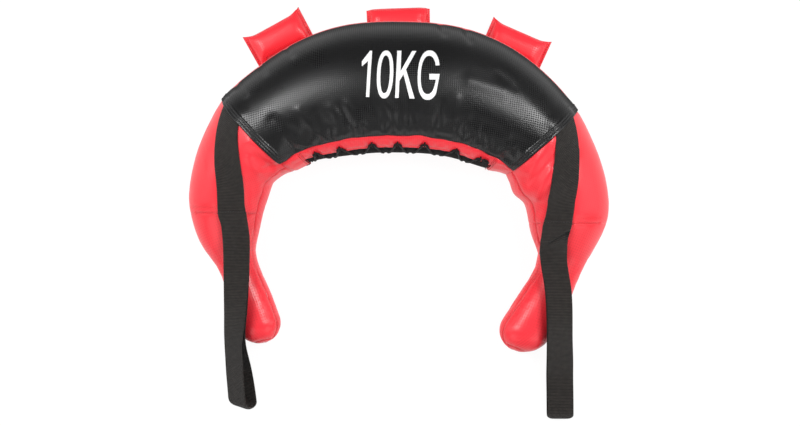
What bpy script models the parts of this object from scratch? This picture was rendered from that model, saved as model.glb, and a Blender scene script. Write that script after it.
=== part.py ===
"""A bulgarian bag: a stuffed crescent with two grips at its ends, two webbing loops and three top grips.

The bag lies on its back. X runs from the left grip to the right one, Y points at the crest of the
crescent, Z points up, and the floor is at zero. All sizes are metres and all angles are degrees.
The outer surface is lofted through cross-sections. A place on it is a station, counted from one
tip to the other, and an angle round the section: 0 at the outer rim, 90 on top, 180 at the inner
rim and 270 underneath. Every skin, lining and filling is that surface at a depth of its own.
"""

import math

import bpy
import numpy as np
from mathutils import Matrix, Vector
from mathutils.bvhtree import BVHTree

# Cross-sections: name, outer rim x and y, inner rim x and y, height, bow of the section line.
SECTIONS = (
    ("left_dome", -0.240, -0.170, -0.178, -0.152, 0.056, 0.0),
    ("left_grip", -0.251, -0.134, -0.192, -0.114, 0.056, 0.0),
    ("left_neck", -0.271, -0.078, -0.212, -0.055, 0.058, 0.0),
    ("left_fore", -0.295, -0.038, -0.206, -0.022, 0.076, 0.0),
    ("left_tack", -0.306, 0.000, -0.201, -0.001, 0.090, 0.0),
    ("left_arm", -0.307, 0.037, -0.190, 0.032, 0.102, -0.001),
    ("left_bend", -0.298, 0.080, -0.182, 0.047, 0.110, -0.004),
    ("left_elbow", -0.280, 0.125, -0.166, 0.058, 0.118, -0.006),
    ("left_hem", -0.2535, 0.1695, -0.1525, 0.0625, 0.127, -0.0095),
    ("left_lace_end", -0.222, 0.199, -0.131, 0.072, 0.134, -0.005),
    ("left_shoulder", -0.167, 0.238, -0.090, 0.080, 0.142, -0.002),
    ("left_crown", -0.087, 0.270, -0.045, 0.085, 0.149, 0.0),
    ("middle", -0.001, 0.277, -0.001, 0.086, 0.150, 0.0),
    ("right_crown", 0.085, 0.269, 0.043, 0.084, 0.149, 0.0),
    ("right_shoulder", 0.165, 0.237, 0.088, 0.075, 0.143, 0.001),
    ("right_lace_end", 0.216, 0.197, 0.125, 0.064, 0.136, 0.003),
    ("right_hem", 0.2530, 0.1545, 0.1515, 0.0570, 0.129, 0.0045),
    ("right_elbow", 0.278, 0.109, 0.162, 0.039, 0.122, 0.003),
    ("right_bend", 0.294, 0.068, 0.169, 0.026, 0.118, 0.002),
    ("right_arm", 0.303, 0.028, 0.181, 0.014, 0.110, 0.001),
    ("right_tack", 0.301, -0.015, 0.189, -0.015, 0.098, 0.0),
    ("right_fore", 0.289, -0.044, 0.195, -0.037, 0.082, 0.0),
    ("right_neck", 0.275, -0.071, 0.202, -0.056, 0.064, 0.0),
    ("right_grip", 0.243, -0.144, 0.178, -0.115, 0.060, 0.0),
    ("right_dome", 0.219, -0.186, 0.152, -0.156, 0.060, 0.0),
)
PLAN_SHIFT = (0.0020, -0.0006)  # brings the middle of the whole outline to zero
WIDEST_SHARE = 0.42  # height of the widest place, as a share of the section's height
LOWER_FULLNESS = 1.25  # how far the lower half would bulge below the floor that flattens it
DOME_SHARE = 0.97  # length of a grip's rounded end, as a share of its half width
LOFT_STEP = 0.033  # spacing of the loft's rings
DOME_RINGS = 3

# Seams round the section. The lines between them only shape the loft.
OUTER_SEAM, FRONT_SEAM, ARM_SEAM, FLAP_EDGE = 12, 140, 151, 162
BACK_FLAP_EDGE, BACK_SEAM = 198, 216
FLAT_START, FLAT_END = 233, 307
ANGLES = (OUTER_SEAM, 32, 52, 72, 92, 110, 126, FRONT_SEAM, ARM_SEAM, FLAP_EDGE, 180,
          BACK_FLAP_EDGE, BACK_SEAM, FLAT_START, 270, FLAT_END, 329, 351)
FULL_TURN = OUTER_SEAM + 360

# Layers
SKIN = 0.0018
SEAM_GAP = 0.0003
LAYER_GAP = 0.0005
TONGUE_THICKNESS = 0.0018
WADDING_THICKNESS = 0.016
SAND_CLEARANCE = 0.003
SAND_END_GAP = 0.004
SAND_END_ROUNDING = 0.014
SAND_END_LENGTH = 0.020

# Webbing
WEBBING_WIDTH = 0.038
WEBBING_THICKNESS = 0.0020
WEBBING_LIFT = 0.0006
LOOP_LIFT = 0.0014
LOOP_BEND_RADIUS = 0.010
LOOP_BULGE = 0.008  # how much further the legs part between the seam and the bend
FOLD_GAP = 0.0010  # from the tack seam to the loop that swings on it
WEBBING_ACROSS = 4
ANCHOR_ROWS = 11
LOOP_ROWS = 24
GROUND_SAMPLES = 4  # places where the ground is read, for each row and each strip across
BEND_ROWS = 4
STEEPEST_FALL = 0.70
FLATTENING_LENGTH = 0.055
# The webbing's middle round the section, at the stations from the hem to the tack seam.
LEFT_WEBBING_ANGLES = {"left_hem": 52.5, "left_elbow": 70.8, "left_bend": 88, "left_arm": 97.3,
                       "left_tack": 104.8}
RIGHT_WEBBING_ANGLES = {"right_hem": 57.5, "right_elbow": 75.6, "right_bend": 89.4,
                        "right_arm": 102.6, "right_tack": 111.1}
# Each loop's middle line after the tack seam: x, y, roll to the outside, turn in plan.
LEFT_LOOP = (
    (-0.2361, -0.039, -4, 0),
    (-0.2364, -0.068, 6, 0),
    (-0.2372, -0.112, 20, 0),
    (-0.2392, -0.156, 32, 0),
    (-0.2420, -0.191, 34, -2),
    (-0.2398, -0.232, 14, -7),
    (-0.2350, -0.277, 0, -12),
)
RIGHT_LOOP = (
    (0.2215, -0.046, -6, 0),
    (0.2225, -0.071, 0, 0),
    (0.2277, -0.103, 5, 0),
    (0.2299, -0.134, 10, 0),
    (0.2321, -0.179, 16, 0),
    (0.2355, -0.224, 6, 0),
    (0.2372, -0.294, 0, 0),
)

# Top grips: station on the outer rim, how far the tabs and the roll's near edge stand out past
# the rim, and turn in plan.
TOP_GRIPS = {
    "left": (11.01, 0.0520, 0.0045, 2.7),
    "center": (13.00, 0.0245, -0.0145, 1.9),
    "right": (15.04, 0.0400, -0.0065, 2.3),
}
ROLL_WIDTH = 0.041
ROLL_THICKNESS = 0.026
ROLL_HALF_LENGTH = 0.035
TAB_START = 0.0405
GRIP_HALF_LENGTH = 0.047
TAB_THICKNESS = 0.0038
TAB_RISE = 0.010
TAB_PLAY = 0.0006
SLEEVE_WALL = 0.0016
FOAM_CLEARANCE = 0.0008
FLOOR_PLAY = 0.0003
ROLL_SHOULDER = 0.55  # where the roll has a ring between its middle and its end
RING_POINTS = 12
RING_SQUARENESS = 0.75

# Lacing: a cord zigzags between sewn cord loops on the two flaps.
LACE_RADIUS = 0.0015
LACE_LIFT = 0.0006
LACE_FRONT_STATIONS = (10.43, 11.21, 12.17, 12.95, 13.77, 14.72, 15.53)
LACE_BACK_STATIONS = (10.13, 10.82, 11.70, 12.56, 13.36, 14.25, 15.12)
LACE_FRONT_ANGLE = 149
LACE_BACK_ANGLE = 206.5
LACE_LEG_ANGLES = (ARM_SEAM, FLAP_EDGE, 180, BACK_FLAP_EDGE)
LACE_APEX = 0.0036
LOOP_CORD_RADIUS = 0.0011
LOOP_CORD_PLAY = 0.0004
LOOP_CORD_POINTS = 7
KNOT_SIZE = (0.0065, 0.0045, 0.0042)
KNOT_RINGS = 7
KNOT_POINTS = 10

# How the surface is read
SLOPE_STEP = 0.05  # stations each way over which a direction is measured
SPINE_STEP = 0.02
PROBE_HEIGHT = 0.03
SKY = 1.0
SHARP_EDGE = 40
END_MARGIN = 0.2  # stations kept free of rings beside a sand bag's rounded ends

LOOKS = {
    "black_vinyl": ((0.016, 0.016, 0.017), 0.42),
    "red_vinyl": ((0.90, 0.045, 0.055), 0.40),
    "black_webbing": ((0.020, 0.019, 0.018), 0.85),
    "black_cord": ((0.012, 0.012, 0.012), 0.70),
    "sand_bag_cloth": ((0.42, 0.36, 0.26), 0.90),
    "wadding": ((0.70, 0.68, 0.62), 0.95),
    "foam": ((0.30, 0.30, 0.32), 0.90),
}

STATION = {row[0]: number + 1 for number, row in enumerate(SECTIONS)}
LEFT_TIP, RIGHT_TIP = 0, len(SECTIONS) + 1


def unit(vector):
    return vector / np.linalg.norm(vector)


def spline_bends(knots, values):
    """Second derivatives at the knots of a natural cubic spline through the values."""
    gaps = np.diff(knots)
    system = np.eye(len(knots))
    right = np.zeros_like(values)
    for i in range(1, len(knots) - 1):
        system[i, i - 1:i + 2] = gaps[i - 1], 2 * (gaps[i - 1] + gaps[i]), gaps[i]
        rise = (values[i + 1] - values[i]) / gaps[i] - (values[i] - values[i - 1]) / gaps[i - 1]
        right[i] = 6 * rise
    return np.linalg.solve(system, right)


class Bag:
    """The filled bag's outer surface, and the surface at any depth under it."""

    def __init__(self):
        self.rows = np.array([row[1:] for row in SECTIONS])
        self.rows[:, 0:4] += (*PLAN_SHIFT, *PLAN_SHIFT)
        middles = (self.rows[:, 0:2] + self.rows[:, 2:4]) / 2
        steps = np.linalg.norm(np.diff(middles, axis=0), axis=1)
        self.knots = np.concatenate([[0.0], np.cumsum(steps)])
        self.bends = spline_bends(self.knots, self.rows)
        self.numbers = np.arange(1, len(SECTIONS) + 1)
        self.lines = self.ring_stations(steps)

    def ring_stations(self, steps):
        """The stations of the loft's rings, from tip to tip."""
        lines = [i / DOME_RINGS for i in range(DOME_RINGS)]
        for number, step in enumerate(steps, start=1):
            count = max(1, round(step / LOFT_STEP))
            lines += [number + i / count for i in range(count)]
        return lines + [len(SECTIONS) + i / DOME_RINGS for i in range(DOME_RINGS + 1)]

    def row_at(self, station):
        """The cross-section's values between two named ones."""
        place = np.interp(station, self.numbers, self.knots)
        i = int(np.clip(np.searchsorted(self.knots, place) - 1, 0, len(self.knots) - 2))
        gap = self.knots[i + 1] - self.knots[i]
        near, far = (self.knots[i + 1] - place) / gap, (place - self.knots[i]) / gap
        curve = (near**3 - near) * self.bends[i] + (far**3 - far) * self.bends[i + 1]
        return near * self.rows[i] + far * self.rows[i + 1] + curve * gap**2 / 6

    def middle_at(self, station):
        row = self.row_at(station)
        return (row[0:2] + row[2:4]) / 2

    def along(self, station):
        """The direction of the crescent's spine in plan, towards the right tip."""
        ahead = min(station + SPINE_STEP, len(SECTIONS))
        return unit(self.middle_at(ahead) - self.middle_at(ahead - 2 * SPINE_STEP))

    def moved(self, station, distance):
        """The station this far along the spine."""
        place = np.interp(station, self.numbers, self.knots) + distance
        return float(np.interp(place, self.knots, self.numbers))

    def point(self, station, angle, depth=0.0):
        """A point of the surface at a depth under the outer one."""
        inside = float(np.clip(station, 1, len(SECTIONS)))
        outer_x, outer_y, inner_x, inner_y, height, bow = self.row_at(inside)
        across = np.array([outer_x - inner_x, outer_y - inner_y])
        half = np.linalg.norm(across) / 2
        along = self.along(inside)
        turn = (station - inside) * math.pi / 2
        shrink = math.cos(turn)
        widest = WIDEST_SHARE * height
        sine, cosine = math.sin(math.radians(angle)), math.cos(math.radians(angle))
        reach = (height - widest if sine > 0 else LOWER_FULLNESS * widest) - depth
        z = widest + reach * shrink * sine
        plan = self.middle_at(inside) + along * (DOME_SHARE * half - depth) * math.sin(turn)
        plan = plan + unit(across) * (half - depth) * shrink * cosine + along * bow * max(0.0, sine)
        return np.array([plan[0], plan[1], max(z, depth)])

    def line(self, station):
        """The number of the ring at a station."""
        return int(np.argmin(np.abs(np.array(self.lines) - station)))


BAG = Bag()


def is_tip(i):
    return i in (0, len(BAG.lines) - 1)


def angle_line(angle):
    return len(ANGLES) if angle == FULL_TURN else ANGLES.index(angle)


def grid_point(i, j, depth):
    return BAG.point(BAG.lines[i], ANGLES[j % len(ANGLES)], depth)


# Meshes


def make_object(name, points, faces, look, frame=None, parent=None):
    """An object with its own material. Its points are in the frame that places it."""
    mesh = bpy.data.meshes.new(name)
    mesh.from_pydata([tuple(map(float, p)) for p in points], [], faces)
    mesh.shade_smooth()
    mesh.set_sharp_from_angle(angle=math.radians(SHARP_EDGE))
    return place_object(name, mesh, look, frame, parent)


def place_object(name, data, look, frame=None, parent=None):
    obj = bpy.data.objects.new(name, data)
    bpy.context.scene.collection.objects.link(obj)
    colour, roughness = LOOKS[look]
    material = bpy.data.materials.new(name)
    material.use_nodes = True
    shader = material.node_tree.nodes["Principled BSDF"]
    shader.inputs["Base Color"].default_value = (*colour, 1.0)
    shader.inputs["Roughness"].default_value = roughness
    shader.inputs["Metallic"].default_value = 0.0
    obj.data.materials.append(material)
    obj.parent = parent
    if frame is not None:
        obj.matrix_local = frame
    return obj


def make_pivot(name, frame):
    """An empty on a joint's axis, which carries the moving pieces."""
    pivot = bpy.data.objects.new(name, None)
    bpy.context.scene.collection.objects.link(pivot)
    pivot.matrix_world = frame
    return pivot


def frame_of(origin, x_axis, z_hint):
    """The placing matrix with this origin and X axis, and Z as near the hint as it goes."""
    x = Vector(x_axis).normalized()
    y = Vector(z_hint).cross(x).normalized()
    z = x.cross(y)
    rotation = Matrix((x, y, z)).transposed().to_4x4()
    return Matrix.Translation(Vector(origin)) @ rotation


def inset_point(cells, i, j, depth):
    """A shell's corner, drawn back by half the seam gap where the shell ends there."""
    here = grid_point(i, j, depth)
    if is_tip(i):
        return here
    count = len(ANGLES)
    used = {(a, b): (i + a, (j + b) % count) in cells for a in (-1, 0) for b in (-1, 0)}
    along = np.sign(used[0, -1] + used[0, 0] - used[-1, -1] - used[-1, 0])
    around = np.sign(used[-1, 0] + used[0, 0] - used[-1, -1] - used[0, -1])
    moved = here.copy()
    if along:
        moved += unit(grid_point(i + along, j, depth) - here) * SEAM_GAP / 2
    if around:
        moved += unit(grid_point(i, j + around, depth) - here) * SEAM_GAP / 2
    return moved


def patch_cells(patches):
    """The loft's cells inside patches of (first station, last station, first angle, last angle)."""
    return {
        (i, j % len(ANGLES))
        for first, last, start, end in patches
        for i in range(BAG.line(first), BAG.line(last))
        for j in range(angle_line(start), angle_line(end))
    }


def add_shell(name, patches, top, bottom, look):
    """A closed shell between two depths, over patches of the bag's surface."""
    cells = patch_cells(patches)
    points, faces, numbers = [], [], {}

    def corner(i, j, depth):
        key = (i, 0 if is_tip(i) else j % len(ANGLES), depth)
        if key not in numbers:
            numbers[key] = len(points)
            points.append(inset_point(cells, i, j, depth))
        return numbers[key]

    def add(*face):
        if len(set(face)) == 3:
            faces.append(face)

    for i, j in sorted(cells):
        ends = ((i, j), (i, j + 1), (i + 1, j + 1), (i + 1, j))
        a, b, c, d = (corner(*end, top) for end in ends)
        add(a, b, c)
        add(a, c, d)
        e, f, g, h = (corner(*end, bottom) for end in ends)
        add(e, g, f)
        add(e, h, g)
        sides = (((i - 1, j), a, b, e, f), ((i, j + 1), b, c, f, g),
                 ((i + 1, j), c, d, g, h), ((i, j - 1), d, a, h, e))
        for (row, column), start, end, under_start, under_end in sides:
            if (row, column % len(ANGLES)) not in cells and start != end:
                add(end, start, under_start)
                add(end, under_start, under_end)
    return make_object(name, points, faces, look)


def loft(rings):
    """Points and triangles through rings of points, with a fan over each end."""
    points = [p for ring in rings for p in ring]
    starts = np.cumsum([0] + [len(ring) for ring in rings])
    count = max(len(ring) for ring in rings)
    faces = []

    def at(ring, j):
        return int(starts[ring] + (j % count if len(rings[ring]) > 1 else 0))

    for ring in range(len(rings) - 1):
        for j in range(count):
            a, b = at(ring, j), at(ring, j + 1)
            d, c = at(ring + 1, j), at(ring + 1, j + 1)
            faces += [face for face in ((a, b, c), (a, c, d)) if len(set(face)) == 3]
    for ring, order in ((0, -1), (len(rings) - 1, 1)):
        if len(rings[ring]) > 1:
            points.append(np.mean(rings[ring], axis=0))
            for j in range(count):
                pair = (at(ring, j), at(ring, j + 1))[::order]
                faces.append((len(points) - 1, *pair))
    return points, faces


def band(upper, lower):
    """Points and triangles of the solid between two grids of points, rows by columns."""
    rows, columns = upper.shape[:2]
    points = np.concatenate([upper.reshape(-1, 3), lower.reshape(-1, 3)])
    under = rows * columns
    faces = []
    for i in range(rows - 1):
        for j in range(columns - 1):
            a, b = i * columns + j, i * columns + j + 1
            c, d = b + columns, a + columns
            faces += [(a, b, c), (a, c, d)]
            faces += [(a + under, c + under, b + under), (a + under, d + under, c + under)]
    rim = [j for j in range(columns)]
    rim += [i * columns + columns - 1 for i in range(1, rows)]
    rim += [(rows - 1) * columns + j for j in range(columns - 2, -1, -1)]
    rim += [i * columns for i in range(rows - 2, 0, -1)]
    for start, end in zip(rim, rim[1:] + rim[:1]):
        faces += [(end, start, start + under), (end, start + under, end + under)]
    return points, faces


# Skins, tongue and filling


def add_skins():
    station = STATION
    grip_seam = (DOME_RINGS - 2) / DOME_RINGS
    skins = {
        "front_center_panel": ("black_vinyl", [
            (station["left_hem"], station["right_hem"], OUTER_SEAM, FRONT_SEAM)]),
        "lacing_flap_front": ("red_vinyl", [
            (station["left_lace_end"], station["right_lace_end"], FRONT_SEAM, FLAP_EDGE)]),
        "lacing_flap_back": ("red_vinyl", [
            (station["left_lace_end"], station["right_lace_end"], BACK_FLAP_EDGE, BACK_SEAM)]),
        "inner_gusset_left": ("red_vinyl", [
            (station["left_hem"], station["left_lace_end"], FRONT_SEAM, BACK_SEAM)]),
        "inner_gusset_right": ("red_vinyl", [
            (station["right_lace_end"], station["right_hem"], FRONT_SEAM, BACK_SEAM)]),
        "back_center_panel": ("red_vinyl", [
            (station["left_hem"], station["right_hem"], BACK_SEAM, FULL_TURN)]),
        "left_arm_front_panel": ("red_vinyl", [
            (station["left_tack"], station["left_hem"], OUTER_SEAM, ARM_SEAM)]),
        "left_arm_back_panel": ("red_vinyl", [
            (station["left_tack"], station["left_hem"], ARM_SEAM, FULL_TURN)]),
        "right_arm_front_panel": ("red_vinyl", [
            (station["right_hem"], station["right_tack"], OUTER_SEAM, ARM_SEAM)]),
        "right_arm_back_panel": ("red_vinyl", [
            (station["right_hem"], station["right_tack"], ARM_SEAM, FULL_TURN)]),
        "left_grip_front_panel": ("red_vinyl", [
            (grip_seam, station["left_tack"], OUTER_SEAM, ARM_SEAM)]),
        "left_grip_back_panel": ("red_vinyl", [
            (LEFT_TIP, grip_seam, OUTER_SEAM, FULL_TURN),
            (grip_seam, station["left_tack"], ARM_SEAM, FULL_TURN)]),
        "right_grip_front_panel": ("red_vinyl", [
            (station["right_tack"], RIGHT_TIP - grip_seam, OUTER_SEAM, ARM_SEAM)]),
        "right_grip_back_panel": ("red_vinyl", [
            (RIGHT_TIP - grip_seam, RIGHT_TIP, OUTER_SEAM, FULL_TURN),
            (station["right_tack"], RIGHT_TIP - grip_seam, ARM_SEAM, FULL_TURN)]),
    }
    for name, (look, patches) in skins.items():
        add_shell(name, patches, 0.0, SKIN, look)


def add_tongue():
    """The black tongue that lies under the lacing and both flaps."""
    first = BAG.lines[BAG.line(STATION["left_lace_end"]) - 1]
    last = BAG.lines[BAG.line(STATION["right_lace_end"]) + 1]
    top = SKIN + LAYER_GAP
    add_shell("tongue", [(first, last, ARM_SEAM, BACK_SEAM)], top, top + TONGUE_THICKNESS,
              "black_vinyl")


def add_wadding():
    """The stiff lining between the tack seams, open at both ends."""
    top = SKIN + LAYER_GAP + TONGUE_THICKNESS + LAYER_GAP
    add_shell("wadding_sleeve",
              [(STATION["left_tack"], STATION["right_tack"], OUTER_SEAM, FULL_TURN)],
              top, top + WADDING_THICKNESS, "wadding")
    return top + WADDING_THICKNESS


def ring(station, depth):
    return [BAG.point(station, angle, depth) for angle in ANGLES]


def add_sand_bags(depth):
    """Four sand bags end to end inside the wadding, with rounded ends."""
    cuts = [STATION[name] for name in ("left_tack", "left_hem", "middle", "right_hem", "right_tack")]
    for number, (first, last) in enumerate(zip(cuts, cuts[1:]), start=1):
        start, end = BAG.moved(first, SAND_END_GAP), BAG.moved(last, -SAND_END_GAP)
        full_start = BAG.moved(start, SAND_END_LENGTH)
        full_end = BAG.moved(end, -SAND_END_LENGTH)
        between = [s for s in BAG.lines if full_start + END_MARGIN < s < full_end - END_MARGIN]
        rings = [ring(start, depth + SAND_END_ROUNDING)]
        rings += [ring(s, depth) for s in [full_start, *between, full_end]]
        rings.append(ring(end, depth + SAND_END_ROUNDING))
        make_object(f"sand_bag_{number}", *loft(rings), "sand_bag_cloth")


def add_grip_foam(name, tip, tack):
    """The foam that fills a grip, from the tack seam to the rounded end."""
    depth = SKIN + LAYER_GAP
    first, last = sorted((BAG.line(tip), BAG.line(tack)))
    rings = []
    for i in range(first, last + 1):
        ends = 0 if i == BAG.line(tip) else len(ANGLES)
        rings.append([grid_point(i, j, depth) for j in range(max(1, ends))])
    at_tack, beside = (-1, -2) if tack > tip else (0, 1)
    pull = SEAM_GAP / 2
    rings[at_tack] = [p + unit(q - p) * pull for p, q in zip(rings[at_tack], rings[beside])]
    make_object(name, *loft(rings), "foam")


# Straps


def outer_tree():
    """The skins' outer facets, to seat pieces on them."""
    points, faces = [], []
    for i in range(len(BAG.lines)):
        points += [tuple(grid_point(i, j, 0.0)) for j in range(len(ANGLES))]
    count = len(ANGLES)
    for i in range(len(BAG.lines) - 1):
        for j in range(count):
            a, b = i * count + j, i * count + (j + 1) % count
            faces += [(a, b, b + count), (a, b + count, a + count)]
    return BVHTree.FromPolygons(points, faces)


TREE = outer_tree()


def height_at(x, y):
    """The height of the bag's upper side over a place in plan, or the floor."""
    hit = TREE.ray_cast(Vector((x, y, SKY)), Vector((0, 0, -1)))[0]
    return hit.z if hit else 0.0


def add_anchor(name, angles):
    """The sewn run of webbing from the hem of the black panel to the tack seam."""
    hem, *_, tack = (STATION[key] for key in angles)
    towards_tack = math.copysign(1.0, tack - hem)
    start = BAG.moved(hem, towards_tack * WEBBING_LIFT)
    end = BAG.moved(tack, -towards_tack * SEAM_GAP / 2)
    known = sorted((STATION[key], angle) for key, angle in angles.items())
    lower, upper = [], []
    for station in np.linspace(start, end, ANCHOR_ROWS):
        places = [anchor_angle(station, known, share) for share in across_shares()]
        lower.append([BAG.point(station, a, -WEBBING_LIFT) for a in places])
        top = -WEBBING_LIFT - WEBBING_THICKNESS
        upper.append([BAG.point(station, a, top) for a in places])
    points, faces = band(np.array(upper), np.array(lower))
    if towards_tack > 0:
        faces = [face[::-1] for face in faces]
    make_object(name, points, faces, "black_webbing")


def across_shares():
    return np.linspace(-1.0, 1.0, WEBBING_ACROSS + 1)


def anchor_angle(station, known, share):
    """The angle at a share of the webbing's half width from its middle."""
    stations, angles = zip(*known)
    middle = float(np.interp(station, stations, angles))
    ahead, behind = (
        BAG.point(place, float(np.interp(place, stations, angles)))
        for place in (station + SLOPE_STEP, station - SLOPE_STEP))
    around = BAG.point(station, middle + 1) - BAG.point(station, middle - 1)
    slant = float(np.dot(unit(ahead - behind), unit(around)))
    per_degree = np.linalg.norm(around) / 2
    return middle - share * WEBBING_WIDTH / 2 / math.sqrt(1 - slant**2) / per_degree


def loop_rows(start, path):
    """Rows along a loop's lower leg, several for each row that it keeps: place in plan, roll, turn."""
    points = np.array([start, *path], dtype=float)
    points[1:, 0:2] += PLAN_SHIFT
    steps = np.linalg.norm(np.diff(points[:, :2], axis=0), axis=1)
    knots = np.concatenate([[0.0], np.cumsum(steps)])
    bends = spline_bends(knots, points)
    rows = []
    for place in np.linspace(0.0, knots[-1], (LOOP_ROWS - 1) * GROUND_SAMPLES + 1):
        i = int(np.clip(np.searchsorted(knots, place) - 1, 0, len(knots) - 2))
        gap = knots[i + 1] - knots[i]
        near, far = (knots[i + 1] - place) / gap, (place - knots[i]) / gap
        curve = (near**3 - near) * bends[i] + (far**3 - far) * bends[i + 1]
        rows.append((place, near * points[i] + far * points[i + 1] + curve * gap**2 / 6))
    return rows


def lower_leg(rows, outward):
    """The middle surface of a loop's lower leg, laid over the grip and then on the floor."""
    half_thickness = WEBBING_THICKNESS / 2
    shares = np.linspace(-1.0, 1.0, GROUND_SAMPLES * WEBBING_ACROSS + 1) * WEBBING_WIDTH / 2
    places = np.array([place for place, _ in rows])
    half_row = places[GROUND_SAMPLES] / 2
    plans, flats, grounds = [], [], []
    for _, (x, y, roll, turn) in rows:
        roll, turn = math.radians(roll), math.radians(turn)
        direction = np.array([outward * math.cos(turn), outward * math.sin(turn)])
        plan = [np.array([x, y]) + direction * share * math.cos(roll) for share in shares]
        plans.append(plan)
        flats.append(-shares * math.sin(roll))
        grounds.append(np.array([height_at(*p) for p in plan]))
    lifts = np.array([LOOP_LIFT * min(1.0, max(ground) / LOOP_LIFT) for ground in grounds])
    needs = np.array([max(g - f) for g, f in zip(grounds, flats)]) + lifts + half_thickness
    leg = []
    for row in range(0, len(rows), GROUND_SAMPLES):
        place = places[row]
        fall = STEEPEST_FALL * np.maximum(0.0, np.abs(places - place) - half_row)
        level = max(needs - fall)
        hug = max(0.0, 1.0 - place / FLATTENING_LENGTH)
        heights = (1 - hug) * (level + flats[row])
        heights += hug * (grounds[row] + lifts[row] + half_thickness)
        kept = zip(plans[row][::GROUND_SAMPLES], heights[::GROUND_SAMPLES])
        leg.append([np.array([*plan, z]) for plan, z in kept])
    return np.array(leg)


def loop_surface(rows, outward):
    """The middle surface of the whole loop: lower leg, bend and upper leg."""
    lower = lower_leg(rows, outward)
    closest = WEBBING_THICKNESS + SEAM_GAP
    upper = lower.copy()
    for i, share in enumerate(np.linspace(0.0, 1.0, len(lower))):
        ease = share * share * (3 - 2 * share)
        bulge = LOOP_BULGE * math.sin(math.pi * share) ** 2
        upper[i, :, 2] += closest + (2 * LOOP_BEND_RADIUS - closest) * ease + bulge
    away = unit(lower[-1].mean(axis=0) - lower[-2].mean(axis=0))
    away = unit(np.array([away[0], away[1], 0.0]))
    bend = []
    for k in range(1, BEND_ROWS + 1):
        turn = math.pi * k / (BEND_ROWS + 1)
        rise = LOOP_BEND_RADIUS * (1 - math.cos(turn))
        bend.append(lower[-1] + away * LOOP_BEND_RADIUS * math.sin(turn) + np.array([0, 0, rise]))
    return np.concatenate([lower, np.array(bend), upper[::-1]])


def thickened(grid):
    """The two faces of webbing whose middle surface is this grid."""
    along = np.gradient(grid, axis=0)
    across = np.gradient(grid, axis=1)
    normals = np.cross(along, across)
    normals /= np.linalg.norm(normals, axis=2, keepdims=True)
    offset = normals * WEBBING_THICKNESS / 2
    return grid - offset, grid + offset


def add_loop(name, angles, path, outward):
    """The free loop below the tack seam, on a pivot along the seam."""
    tack_name, tack_angle = list(angles.items())[-1]
    tack = STATION[tack_name]
    seam = BAG.moved(tack, outward * FOLD_GAP)
    middle = BAG.point(seam, tack_angle)
    slope = BAG.point(seam, tack_angle - 1) - BAG.point(seam, tack_angle + 1)
    roll = -math.degrees(math.atan2(slope[2], np.linalg.norm(slope[:2])))
    turn = math.degrees(math.atan2(outward * slope[1], outward * slope[0]))
    rows = loop_rows((middle[0], middle[1], roll, turn), path)
    grid = loop_surface(rows, outward)
    top = grid[-1][len(grid[-1]) // 2]
    pivot_place = top + np.array([0, 0, WEBBING_THICKNESS / 2])
    x_axis = unit(grid[-1][-1] - grid[-1][0]) * outward
    frame = frame_of(pivot_place, x_axis, (0, 0, 1))
    pivot = make_pivot(f"{name}_pivot", frame)
    points, faces = band(*thickened(grid))
    back = frame.inverted()
    points = [back @ Vector(p) for p in points]
    make_object(name, points, faces, "black_webbing", parent=pivot)


# Top grips


def grip_ring(share_length, reach, near_edge, grow=0.0):
    """A ring of the sleeve at a distance from its middle: wide tabs at the ends, a roll between."""
    distance = abs(share_length)
    blend = np.clip((distance - ROLL_HALF_LENGTH) / (TAB_START - ROLL_HALF_LENGTH), 0, 1)
    blend = float(blend * blend * (3 - 2 * blend))
    roll = np.array([near_edge + ROLL_WIDTH / 2, ROLL_THICKNESS / 2, ROLL_WIDTH / 2,
                     ROLL_THICKNESS / 2, 0.0])
    tab_slope = math.atan2(TAB_RISE, reach)
    tab = np.array([(reach + TAB_PLAY) / 2, TAB_THICKNESS / 2 + TAB_RISE / 2,
                    (reach - TAB_PLAY) / 2, TAB_THICKNESS / 2, tab_slope])
    out, up, half_width, half_thickness, slope = roll * (1 - blend) + tab * blend
    ring_points = []
    for k in range(RING_POINTS):
        turn = 2 * math.pi * k / RING_POINTS
        cosine, sine = math.cos(turn), math.sin(turn)
        r = (half_width + grow) * math.copysign(abs(cosine) ** RING_SQUARENESS, cosine)
        z = (half_thickness + grow) * math.copysign(abs(sine) ** RING_SQUARENESS, sine)
        y = out + r * math.cos(slope) - z * math.sin(slope)
        height = up + r * math.sin(slope) + z * math.cos(slope)
        ring_points.append(np.array([share_length, y, height - TAB_THICKNESS / 2]))
    return ring_points


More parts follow.
